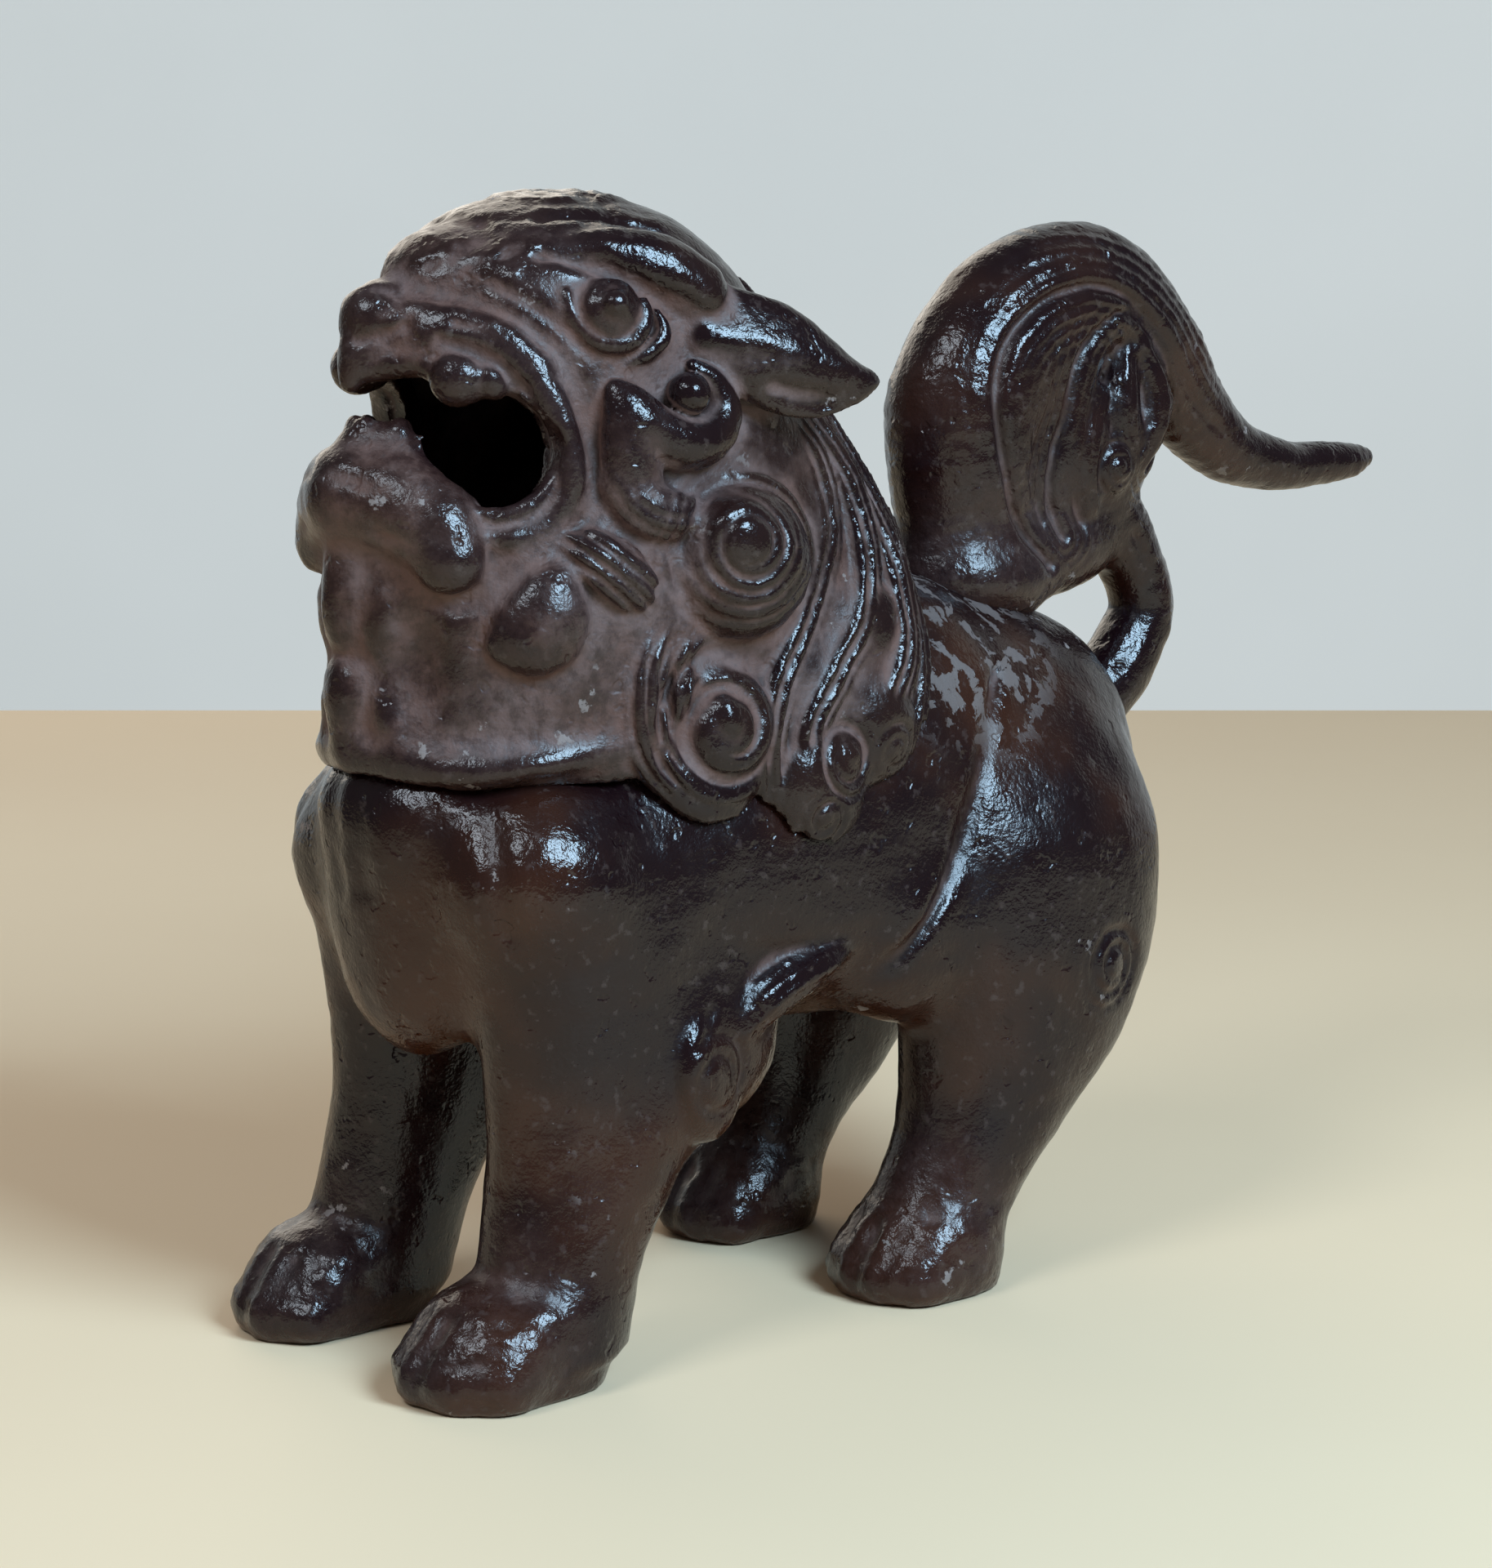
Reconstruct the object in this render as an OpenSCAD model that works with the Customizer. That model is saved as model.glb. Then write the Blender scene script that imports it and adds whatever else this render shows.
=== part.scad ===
// Lion incense burner, cast iron, with a lift-off head.
// Millimetres. X to the lion's left, Y to its tail, Z up. The feet stand on Z = 0.

/* [Stance] */
// Distance from the front paws to the hind paws
stance_len = 81; // [76:1:88]
// Distance between the left and right paws
stance_w = 43; // [40:1:46]
// Length of a front paw
paw_len = 34; // [31:1:38]
// Width of a front paw
paw_w = 25; // [22:1:27]
// Height of a front paw
paw_h = 17; // [14:1:20]
// Width of a foreleg at the elbow
leg_w = 24; // [22:1:26]

/* [Body] */
// Length of the torso from breast to rump
body_len = 148; // [144:1:156]
// Overhang of the breast in front of the middle of the front paws
breast_fore = 9; // [6:1:12]
// Width of the torso
body_w = 62; // [58:1:68]
// Height of the back above the table
back_h = 109; // [104:1:114]
// Height of the belly above the table
belly_h = 42; // [38:1:46]
// Wall of the castings
wall = 4; // [3:0.5:5]
// Diameter of the fire opening in the back
fire_d = 46; // [42:1:50]

/* [Head] */
// Height of the head from the seam at the breast to the crown
head_h = 80; // [76:1:86]
// Width of the mane
mane_w = 58; // [54:1:64]
// Length of the mane from beard to nape
mane_len = 90; // [84:1:96]
// Height of the seam at the breast
seam_h = 85; // [82:1:88]
// Diameter of the open mouth at its corner
mouth_d = 17; // [14:1:19]
// Thickness of a lock of the mane
lock_d = 8; // [7:0.5:9]

/* [Tail] */
// Height of the tail above the table
tail_h = 158; // [150:1:166]
// Reach of the tail tip behind the rump
tail_reach = 58.4; // [52:0.4:66]
// Width of the tail brush along the lion
brush_w = 34; // [30:1:38]
// Thickness of the tail brush
brush_t = 24; // [20:1:28]
// Diameter of the tail stem
stem_d = 10.5; // [9:0.5:12]
// Diameter of the tail tenon
tenon_d = 7; // [6:0.5:8]
// Diameter of the tail pin
tail_pin_d = 2; // [1.5:0.5:2.5]

/* [Liner] */
// Outer diameter of the ash liner
liner_d = 38; // [34:1:40]
// Height of the ash liner
liner_h = 26; // [22:1:30]
// Sheet thickness of the ash liner
liner_t = 1.5; // [1:0.5:2]

/* [Fits] */
// Gap between the head and the body
seam_gap = 0.4; // [0.3:0.1:0.8]
// Clearance round the locating ring of the head
ring_gap = 0.5; // [0.4:0.1:1]

/* [Hidden] */

// Facets round a torso or head section
ring_n = 20;
// Facets round a hollow
hollow_n = 16;
// Facets of a small lobe
lobe_n = 8;
// Facets round a roll of the mane and round a toe
roll_n = 5;
toe_n = 6;
// Facets of a turned piece
turned_n = 48;
// Sections along the torso, the head, the tail brush and a leg
torso_n = 12;
head_n = 11;
brush_n = 16;
leg_rings = 7;

// Heights and places that follow from the sizes above
front_y = -stance_len / 2;
hind_y = stance_len / 2;
breast_y = front_y - breast_fore;
rump_y = breast_y + body_len;
beard_fore = 3.5;
beard_y = breast_y - beard_fore;
tail_tip_y = rump_y + tail_reach;
toe_r = paw_w * 0.19;
toe_fore = paw_len * 0.3 + toe_r * cos(180 / toe_n);
origin_y = (front_y - toe_fore + tail_tip_y) / 2;

// Hearth and ash liner
hearth_z = belly_h + 2 * wall;
fire_y = beard_y + mane_len * 0.52;
liner_foot_r = liner_d * 0.35;
liner_lip = 2;
liner_play = 1;
liner_room = 3.5;

// Fits of the tail
tenon_gap = 0.15;
seat_gap = 0.1;

// Curve through the rows of a table, keyed by the first column
function row(t, i) = t[max(0, min(len(t) - 1, i))];
function span(t, k, i = 0) = i >= len(t) - 2 || k < t[i + 1][0] ? i : span(t, k, i + 1);
function slope(t, i) = (row(t, i + 1) - row(t, i - 1)) / (row(t, i + 1)[0] - row(t, i - 1)[0]);
function hermite(a, b, ma, mb, h, u) =
    a * (2 * u * u * u - 3 * u * u + 1) + ma * h * (u * u * u - 2 * u * u + u)
    + b * (3 * u * u - 2 * u * u * u) + mb * h * (u * u * u - u * u);
function curve(t, k) = let (i = span(t, k), a = t[i], b = t[i + 1], h = b[0] - a[0])
    hermite(a, b, slope(t, i), slope(t, i + 1), h, (k - a[0]) / h);

// Rounded closing of a form along its length, from 0 at the ends to 1 in the middle
function swell(s, q) = pow(max(0, 1 - pow(abs(2 * s - 1), q)), 1 / q);
// Places along a form, closer together at both ends
function places(m) = [for (i = [0 : m]) 0.5 - 0.496 * cos(180 * i / m)];
function bow(v, p) = sign(v) * pow(abs(v), 2 / p);

// Solid through a list of rings with the same number of points
module skin(rings) {
  m = len(rings);
  n = len(rings[0]);
  points = [for (r = rings) for (p = r) p];
  sides = [for (k = [0 : m - 2]) for (i = [0 : n - 1])
    let (j = (i + 1) % n, a = k * n, b = (k + 1) * n)
      for (f = [[a + i, b + j, a + j], [a + i, b + i, b + j]]) f];
  start = [for (i = [0 : n - 1]) i];
  end = [for (i = [0 : n - 1]) m * n - 1 - i];
  polyhedron(points, concat(sides, [start], [end]));
}

module both_sides() {
  children();
  mirror([1, 0, 0]) children();
}

// Short roll: two balls joined
module roll(p, r, n = 8) {
  hull() {
    translate(p[0]) sphere(r[0], $fn = n);
    translate(p[1]) sphere(r[1], $fn = n);
  }
}

// Long roll swept smoothly through points, each with its own radius, with rounded ends
function unit(v) = v / norm(v);
function tube_ring(c, d, ref, r, n) = let (u = unit(cross(d, ref)), v = cross(u, unit(d)))
  [for (i = [0 : n - 1]) let (a = -360 * i / n) c + r * (cos(a) * u + sin(a) * v)];
module tube(p, r, ref, n = 6, per = 2) {
  rows = [for (i = [0 : len(p) - 1]) [i, p[i][0], p[i][1], p[i][2], r[i]]];
  last = len(p) - 1;
  ks = [for (k = [0 : per * last]) k / per];
  at = [for (k = ks) curve(rows, k)];
  c = [for (q = at) [q[1], q[2], q[3]]];
  m = len(c) - 1;
  d = [for (k = [0 : m]) unit(c[min(m, k + 1)] - c[max(0, k - 1)])];
  skin(concat(
    [tube_ring(c[0] - d[0] * r[0] * 0.8, d[0], ref, r[0] * 0.5, n)],
    [for (k = [0 : m]) tube_ring(c[k], d[k], ref, at[k][4], n)],
    [tube_ring(c[m] + d[m] * r[last] * 0.8, d[m], ref, r[last] * 0.5, n)]));
}

// Rounded lobe with three half sizes
module lobe(p, half, turn = [0, 0, 0], n = lobe_n) {
  translate(p) rotate(turn) scale(half) sphere(1, $fn = n);
}

// Torso: place along the body, then crest, middle and keel as shares of the height from belly to back,
// and the half width share
torso_rows = [
  [0.00, 0.86, 0.54, 0.20, 0.86],
  [0.20, 0.79, 0.44, 0.03, 1.00],
  [0.45, 0.91, 0.33, 0.00, 0.97],
  [0.62, 1.00, 0.30, -0.03, 0.97],
  [0.80, 0.98, 0.28, -0.07, 1.00],
  [1.00, 0.94, 0.27, -0.08, 0.92]];
breast_end = 2.5;
rump_end = 2.1;
function closing(s) = swell(s, s < 0.5 ? breast_end : rump_end);
torso_square = 2.25;
function level(share) = belly_h + share * (back_h - belly_h);
function torso_ring(s, g, n) =
  let (r = curve(torso_rows, s), e = closing(s), mid = level(r[2]),
       w = body_w / 2 * r[4] * e + g, y = breast_y - g + s * (body_len + 2 * g))
  [for (i = [0 : n - 1]) let (a = -360 * i / n, up = sin(a) >= 0 ? level(r[1]) - mid : mid - level(r[3]))
    [w * bow(cos(a), torso_square), y, mid + (up * e + g) * bow(sin(a), torso_square)]];
module torso(g = 0, n = ring_n) {
  skin([for (s = places(torso_n)) torso_ring(s, g, n)]);
}
// Height of the back at a place along the lion
function crest_at(y) =
  let (s = (y - breast_y) / body_len, r = curve(torso_rows, s), mid = level(r[2]))
  mid + (level(r[1]) - mid) * closing(s);

// Locating ring under the head, from above the liner up into the floor of the head
ring_t = 3;
ring_z = hearth_z + liner_h + liner_room;
floor_z = crest_at(fire_y + fire_d / 2) + seam_gap + wall;
ring_h = floor_z - wall / 2 - ring_z;

// Leg sections: height share, outward and rearward place from the paw, half width and half depth,
// all but the first as shares of the leg width
front_leg_rows = [
  [0.00, 0, 0.38, 0.44, 0.48],
  [0.20, -0.04, 0.54, 0.42, 0.48],
  [0.42, -0.12, 0.71, 0.46, 0.54],
  [0.62, -0.12, 0.75, 0.50, 0.67],
  [0.84, -0.17, 0.67, 0.54, 0.75],
  [1.00, -0.25, 0.62, 0.33, 0.58]];
hind_leg_rows = [
  [0.00, 0, -0.10, 0.42, 0.46],
  [0.12, 0, 0.20, 0.42, 0.50],
  [0.24, 0, 0.51, 0.45, 0.62],
  [0.38, 0, 0.73, 0.53, 0.86],
  [0.56, 0, 0.81, 0.57, 1.05],
  [0.74, -0.04, 0.81, 0.54, 1.05],
  [0.90, -0.17, 0.77, 0.38, 0.78],
  [1.00, -0.33, 0.71, 0.12, 0.38]];
leg_n = 14;
module leg(rows, y, bottom, top) {
  skin([for (k = [0 : leg_rings]) let (s = k / leg_rings, r = leg_w * curve(rows, s))
    [for (i = [0 : leg_n - 1]) let (a = 360 * i / leg_n)
      [stance_w / 2 + r[1] + r[3] * cos(a), y + r[2] + r[4] * sin(a), bottom + s * (top - bottom)]]]);
}

// Toes of a paw: outward and rearward place from the middle of the paw
front_toes = [[-0.30, -0.20], [-0.09, -0.30], [0.13, -0.25], [0.31, -0.12]];
hind_toes = [[-0.28, -0.26], [-0.09, -0.31], [0.11, -0.30], [0.28, -0.22]];
module toes(places, y, r) {
  for (t = places)
    roll([[stance_w / 2 + t[0] * paw_w, y + t[1] * paw_len, paw_h * 0.22],
          [stance_w / 2 + t[0] * paw_w * 0.8, y + (t[1] + 0.2) * paw_len, paw_h * 0.52]],
         [r, r * 0.95], toe_n);
}

module front_paw() {
  x = stance_w / 2;
  hull() {
    lobe([x, front_y, paw_h * 0.28], [paw_w * 0.44, paw_len * 0.31, paw_h * 0.64], n = 10);
    lobe([x, front_y + paw_len * 0.25, paw_h * 0.28], [paw_w * 0.42, paw_len * 0.29, paw_h * 0.7], n = 10);
  }
  toes(front_toes, front_y, toe_r);
}

module hind_paw() {
  x = stance_w / 2;
  hull() {
    lobe([x, hind_y - paw_len * 0.08, paw_h * 0.27], [paw_w * 0.42, paw_len * 0.3, paw_h * 0.6], n = 10);
    lobe([x, hind_y + paw_len * 0.08, paw_h * 0.27], [paw_w * 0.4, paw_len * 0.28, paw_h * 0.65], n = 10);
  }
  toes(hind_toes, hind_y, toe_r * 0.9);
}

// Tufts of hair behind the elbow and on the thigh
module leg_tufts() {
  elbow = [stance_w / 2 + leg_w * 0.27, front_y + leg_w * 1.37, level(-0.01)];
  lobe(elbow, leg_w * [0.21, 0.28, 0.4], [12, 0, 0]);
  lobe(elbow + leg_w * [-0.14, 0.04, 0.42], leg_w * [0.25, 0.56, 0.46]);
  tube([elbow + leg_w * [0.04, 0.12, 0.22], elbow + leg_w * [-0.03, 0.56, 0.48],
        elbow + leg_w * [-0.2, 1.12, 0.63]], leg_w * [0.15, 0.14, 0.04], [1, 0, 0]);
  thigh = [stance_w / 2 + leg_w * 0.41, hind_y + leg_w * 1.06, level(0.09)];
  lobe(thigh, leg_w * [0.16, 0.23, 0.35], [0, 0, 20]);
}

// Seat of the tail in the rump: hole, boss and their place
tail_z = level(0.54);
boss_wall = 4;
boss_d = tenon_d + 2 * boss_wall;
boss_y = rump_y - 2 * wall - 2 * boss_wall;
module tail_boss() {
  intersection() {
    torso(-wall / 2);
    translate([0, boss_y, tail_z]) rotate([-90, 0, 0])
      cylinder(h = rump_y - boss_y, d = boss_d, $fn = turned_n);
  }
}
module tail_hole() {
  translate([0, boss_y - boss_wall, tail_z]) rotate([-90, 0, 0])
    cylinder(h = rump_y - boss_y + 2 * boss_wall, d = tenon_d + 2 * tenon_gap, $fn = 32);
}

// Rounded shoulder above each front leg
module shoulder(g = 0) {
  half = leg_w * [0.54, 0.58, 0.54] + [g, g, g];
  lobe([stance_w / 2 - leg_w * 0.12, front_y + leg_w * 0.46, level(0.44)], half, n = 14);
}

module body_form() {
  torso();
  both_sides() {
    leg(front_leg_rows, front_y, paw_h * 0.3, level(0.58));
    leg(hind_leg_rows, hind_y, paw_h * 0.2, level(0.74));
    shoulder();
    front_paw();
    hind_paw();
    leg_tufts();
  }
}

module body_casting() {
  color("#3a2c28")
  difference() {
    union() {
      difference() {
        body_form();
        intersection() {
          torso(-wall, hollow_n);
          translate([-body_w, breast_y, hearth_z]) cube([2 * body_w, body_len, back_h]);
        }
      }
      tail_boss();
    }
    translate([0, fire_y, ring_z]) cylinder(h = back_h, d = fire_d, $fn = turned_n);
    translate([0, fire_y, hearth_z])
      cylinder(h = liner_h, r1 = liner_foot_r + liner_play, r2 = liner_d / 2 + liner_play, $fn = turned_n);
    tail_hole();
    translate([-body_w, breast_y - body_w, -body_w]) cube([2 * body_w, 2 * body_len, body_w]);
  }
}

// Head core: height share, front and back place along the mane, half width share
head_rows = [
  [0.00, 0.08, 0.97, 0.92],
  [0.07, 0.06, 0.99, 0.95],
  [0.19, 0.055, 1.00, 0.97],
  [0.31, 0.05, 0.99, 0.97],
  [0.41, 0.07, 0.95, 0.95],
  [0.51, 0.12, 0.90, 0.91],
  [0.61, 0.15, 0.86, 0.87],
  [0.71, 0.14, 0.81, 0.83],
  [0.81, 0.16, 0.75, 0.78],
  [0.89, 0.20, 0.69, 0.69],
  [0.95, 0.27, 0.62, 0.53],
  [0.985, 0.35, 0.55, 0.30]];
face_square = 2.05;
nape_square = 3;
function head_at(x, y, z) = [x * mane_w / 2, beard_y + y * mane_len, seam_h + z * head_h];
head_top = 0.985;
function head_ring(z, g, n) =
  let (r = curve(head_rows, z), w = mane_w / 2 * r[3] + g,
       mid = beard_y + mane_len * (r[1] + r[2]) / 2, half = mane_len * (r[2] - r[1]) / 2 + g)
  [for (i = [0 : n - 1]) let (a = 360 * i / n, p = sin(a) < 0 ? face_square : nape_square)
    [w * bow(cos(a), p), mid + half * bow(sin(a), p), seam_h + z * head_h + g * (2 * z - 1)]];
module head_core(g = 0, n = ring_n) {
  skin([for (k = [0 : head_n]) head_ring(head_top * k / head_n, g, n)]);
}

// Rolls and lobes of the head: places as shares of the head, radii as shares of a lock's thickness
module head_roll(p, r) {
  roll([for (q = p) head_at(q[0], q[1], q[2])], lock_d * r);
}
module head_tube(p, r, ref = [0, 0, 1]) {
  tube([for (q = p) head_at(q[0], q[1], q[2])], lock_d * r, ref, roll_n, 1);
}
module head_lobe(p, half, n = lobe_n) {
  lobe(head_at(p[0], p[1], p[2]), lock_d * half, n = n);
}

module jaw() {
  head_tube([[0, 0.087, 0.493], [0.207, 0.122, 0.475], [0.355, 0.147, 0.443], [0.434, 0.158, 0.397]],
            [1.05, 1, 0.88, 0.7]);
  head_tube([[0, 0.087, 0.585], [0.193, 0.147, 0.557], [0.379, 0.184, 0.478]], [0.36, 0.36, 0.25]);
}

module muzzle() {
  head_tube([[0, 0.151, 0.762], [0.224, 0.182, 0.765], [0.414, 0.236, 0.755], [0.572, 0.284, 0.707]],
            [0.78, 0.7, 0.65, 0.54]);
  head_roll([[0, 0.124, 0.798], [0.145, 0.14, 0.78]], [0.7, 0.47]);
  head_roll([[0.379, 0.171, 0.71], [0.503, 0.213, 0.698]], [0.42, 0.35]);
  head_tube([[0, 0.111, 0.762], [0, 0.087, 0.72], [0, 0.071, 0.688]], [0.6, 0.39, 0.2], [1, 0, 0]);
  head_tube([[0.193, 0.138, 0.807], [0.483, 0.236, 0.76], [0.71, 0.289, 0.632], [0.738, 0.296, 0.493],
             [0.648, 0.209, 0.425]], [0.17, 0.35, 0.3, 0.29, 0.24], [1, 0, 0]);
}

module brow_and_eye() {
  head_lobe([0, 0.24, 0.857], [1.2, 1.1, 0.88]);
  head_lobe([0, 0.35, 0.902], [1.26, 1.15, 0.91]);
  head_lobe([0, 0.461, 0.915], [1.39, 1.12, 0.9]);
  head_lobe([0, 0.556, 0.885], [1.45, 1.14, 0.8]);
  head_lobe([0.414, 0.406, 0.891], [0.78, 0.9, 0.65]);
  head_tube([[0.503, 0.349, 0.918], [0.593, 0.427, 0.907], [0.669, 0.5, 0.886], [0.724, 0.556, 0.843]],
            [0.2, 0.45, 0.6, 0.57]);
  head_lobe([0.721, 0.382, 0.809], [0.61, 0.61, 0.6]);
}

module ear() {
  hull() {
    head_lobe([0.8, 0.6, 0.75], [0.48, 0.8, 0.85]);
    head_lobe([0.94, 0.7, 0.7], [0.44, 0.65, 0.75]);
    head_lobe([1.07, 0.815, 0.67], [0.15, 0.15, 0.15]);
  }
}

// Curl in front of the ear, leaf and jowl behind the mouth
module cheek_locks() {
  head_tube([[0.828, 0.367, 0.45], [0.848, 0.364, 0.562], [0.869, 0.373, 0.657]],
            [0.28, 0.42, 0.35], [1, 0, 0]);
  head_tube([[0.869, 0.38, 0.64], [0.931, 0.462, 0.56], [0.931, 0.513, 0.55], [0.89, 0.556, 0.627],
             [0.848, 0.496, 0.695]], [0.42, 0.5, 0.45, 0.29, 0.16], [1, 0, 0]);
  head_lobe([0.917, 0.496, 0.655], [0.4, 0.39, 0.39]);
  head_lobe([0.876, 0.411, 0.475], [0.42, 0.68, 0.42]);
  head_tube([[0.807, 0.282, 0.42], [0.89, 0.338, 0.375], [0.945, 0.402, 0.307]],
            [0.15, 0.42, 0.12], [1, 0, 0]);
  head_lobe([0.745, 0.24, 0.28], [0.57, 0.85, 0.78]);
}

// Two round curls behind the cheek, with the locks that run round them
module mane_curls() {
  head_lobe([0.855, 0.58, 0.365], [1.02, 1.34, 1.34], 10);
  head_lobe([0.966, 0.551, 0.415], [0.65, 0.8, 0.8]);
  head_tube([[0.934, 0.528, 0.496], [0.921, 0.642, 0.482], [0.921, 0.711, 0.368],
             [0.928, 0.647, 0.244], [0.938, 0.508, 0.251]], [0.12, 0.25, 0.29, 0.28, 0.15], [1, 0, 0]);
  head_lobe([0.883, 0.531, 0.062], [0.85, 1.36, 1.39], 10);
  head_lobe([0.91, 0.529, -0.013], [0.62, 1.1, 0.97]);
  head_tube([[0.897, 0.44, 0.263], [0.876, 0.404, 0.138], [0.917, 0.447, 0.003], [0.972, 0.556, -0.062]],
            [0.25, 0.47, 0.42, 0.28], [1, 0, 0]);
}

// Long locks from the ear down to the shoulder and the mass under them
module mane_locks() {
  head_lobe([0.952, 0.731, -0.057], [0.65, 1.15, 1.27]);
  head_lobe([0.897, 0.862, 0.032], [0.65, 1.05, 1.25]);
  head_lobe([0.848, 0.744, 0.113], [0.65, 1.55, 1.18]);
  head_lobe([0.814, 0.856, 0.2], [0.65, 1.18, 1.18]);
  head_lobe([0.707, 0.917, 0.113], [0.88, 0.88, 1.56]);
  head_tube([[0.669, 0.711, 0.637], [0.759, 0.793, 0.412], [0.876, 0.718, 0.225],
             [0.952, 0.636, 0.045], [0.959, 0.642, -0.055]], [0.33, 0.42, 0.4, 0.36, 0.3], [1, 0, 0]);
  head_tube([[0.607, 0.782, 0.613], [0.772, 0.867, 0.343], [0.931, 0.764, 0.13], [0.972, 0.72, -0.075]],
            [0.33, 0.47, 0.42, 0.33], [1, 0, 0]);
  head_tube([[0.503, 0.836, 0.588], [0.759, 0.936, 0.282], [0.931, 0.878, 0.07], [0.959, 0.84, -0.013]],
            [0.35, 0.51, 0.42, 0.33], [1, 0, 0]);
  head_tube([[0.379, 0.867, 0.613], [0.641, 0.978, 0.275], [0.828, 0.962, 0.062], [0.883, 0.933, -0.025]],
            [0.33, 0.47, 0.44, 0.36], [1, 0, 0]);
}

// Bands on the nape, laid on the core of the head
function nape_at(x, z) =
  let (r = curve(head_rows, z), q = pow(1 - pow(x / r[3], nape_square), 1 / nape_square))
  head_at(x, (r[1] + r[2]) / 2 + (r[2] - r[1]) / 2 * q, z);
module nape_bands() {
  for (x = [[0.32, 0.56], [0.07, 0.22]])
    tube([for (k = [0 : 3]) nape_at(x[0] + (x[1] - x[0]) * k / 3, 0.82 - 0.21 * k)],
         lock_d * [0.3, 0.5, 0.62, 0.6], [1, 0, 0], roll_n, 1);
}

module beard() {
  head_roll([[0, 0.076, 0.388], [0, 0.076, 0.087]], [0.62, 0.55]);
  head_roll([[0.214, 0.087, 0.35], [0.234, 0.084, 0.087]], [0.38, 0.38]);
  head_tube([[0, 0.071, 0.043], [0.31, 0.093, 0.03], [0.566, 0.142, 0.025], [0.759, 0.227, 0.035],
             [0.862, 0.4, 0.062]], [0.45, 0.42, 0.38, 0.33, 0.25]);
}

// Shell under the mane that lies on the back and carries the lowest locks
shell_t = wall * 0.75;
module mane_shell() {
  locks = head_at(0, 0.44, -0.07);
  nape = head_at(0, 0.88, 0);
  intersection() {
    torso(seam_gap + shell_t, hollow_n);
    union() {
      translate([-mane_w, beard_y - wall, nape[2]]) cube([2 * mane_w, nape[1] - beard_y + wall, back_h]);
      translate([-mane_w, locks[1], locks[2]]) cube([2 * mane_w, nape[1] - locks[1], back_h]);
    }
  }
}

// Outline of the open mouth seen from the side, drawn along Y and Z
module mouth_outline() {
  c = head_at(0, 0.2, 0.575);
  front = head_at(0, -0.08, 0.655);
  translate([c[1], c[2]]) circle(d = mouth_d, $fn = 48);
  hull() {
    translate([c[1], c[2] + mouth_d * 0.2]) circle(d = mouth_d * 0.5, $fn = 32);
    translate([front[1], front[2]]) circle(d = mouth_d * 0.3, $fn = 32);
  }
}

module head_form() {
  head_core();
  both_sides() {
    jaw();
    muzzle();
    brow_and_eye();
    ear();
    cheek_locks();
    mane_curls();
    mane_locks();
    nape_bands();
    beard();
  }
  mane_shell();
}

ring_d = fire_d - 2 * ring_gap;
neck_d = ring_d - 2 * ring_t;
module locating_ring() {
  difference() {
    translate([0, fire_y, ring_z]) cylinder(h = ring_h, d = ring_d, $fn = turned_n);
    translate([0, fire_y, ring_z - wall]) cylinder(h = ring_h + 2 * wall, d = neck_d, $fn = turned_n);
  }
}

module head_cover() {
  color("#3a2c28")
  union() {
    difference() {
      head_form();
      torso(seam_gap);
      both_sides() shoulder(seam_gap);
      difference() {
        head_core(-wall, hollow_n);
        torso(seam_gap + wall, hollow_n);
      }
      translate([0, fire_y, ring_z]) cylinder(h = floor_z + wall - ring_z, d = neck_d, $fn = turned_n);
      rotate([90, 0, 90]) linear_extrude(height = 2 * mane_w, center = true) mouth_outline();
    }
    locating_ring();
  }
}

// Tail brush: place along it, reach behind the rump, height share from the back to the top of the tail,
// half width and half thickness shares
brush_rows = [
  [0.00, -0.52, -0.14, 0.56, 0.60],
  [0.12, -0.555, 0.17, 0.68, 0.86],
  [0.24, -0.535, 0.45, 0.78, 0.95],
  [0.36, -0.365, 0.67, 0.80, 0.95],
  [0.48, -0.12, 0.745, 0.70, 0.88],
  [0.60, 0.10, 0.59, 0.56, 0.74],
  [0.70, 0.27, 0.38, 0.42, 0.56],
  [0.80, 0.465, 0.214, 0.31, 0.42],
  [0.89, 0.70, 0.155, 0.235, 0.32],
  [0.96, 0.90, 0.15, 0.18, 0.26],
  [1.00, 1.00, 0.155, 0.04, 0.08]];
// Tail stem: place along it, reach behind the rump, height share from the tenon to the top of the tail,
// half width and half thickness shares
stem_rows = [
  [0.00, -0.18, 0.00, 1.15, 1.15],
  [0.20, -0.06, 0.05, 1.15, 1.15],
  [0.40, 0.055, 0.135, 1.08, 1.08],
  [0.60, 0.115, 0.235, 1.0, 1.0],
  [0.80, 0.015, 0.37, 1.1, 1.1],
  [1.00, -0.13, 0.475, 1.6, 1.6]];
function tail_at(x, y, z, base = back_h) = [x, rump_y + y * tail_reach, base + z * (tail_h - base)];
function sweep_ring(rows, s, base, w, t, n) =
  let (r = curve(rows, s), a = curve(rows, max(0, s - 0.01)), b = curve(rows, min(1, s + 0.01)),
       d = tail_at(0, b[1], b[2], base) - tail_at(0, a[1], a[2], base),
       u = [0, -d[2], d[1]] / norm(d), c = tail_at(0, r[1], r[2], base))
  [for (i = [0 : n - 1]) let (q = -360 * i / n) c + [t * r[4] * cos(q), 0, 0] + u * w * r[3] * sin(q)];
// Locks of the tail: places as shares of the tail, radii as shares of the brush thickness
module tail_tube(p, r) {
  tube([for (q = p) tail_at(q[0] * brush_t * 0.37, q[1], q[2])], brush_t * r, [1, 0, 0], 6);
}
module tail_tip(p, r) {
  roll([for (q = p) tail_at(q[0] * brush_t * 0.37, q[1], q[2])], brush_t * r, 6);
}

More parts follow.
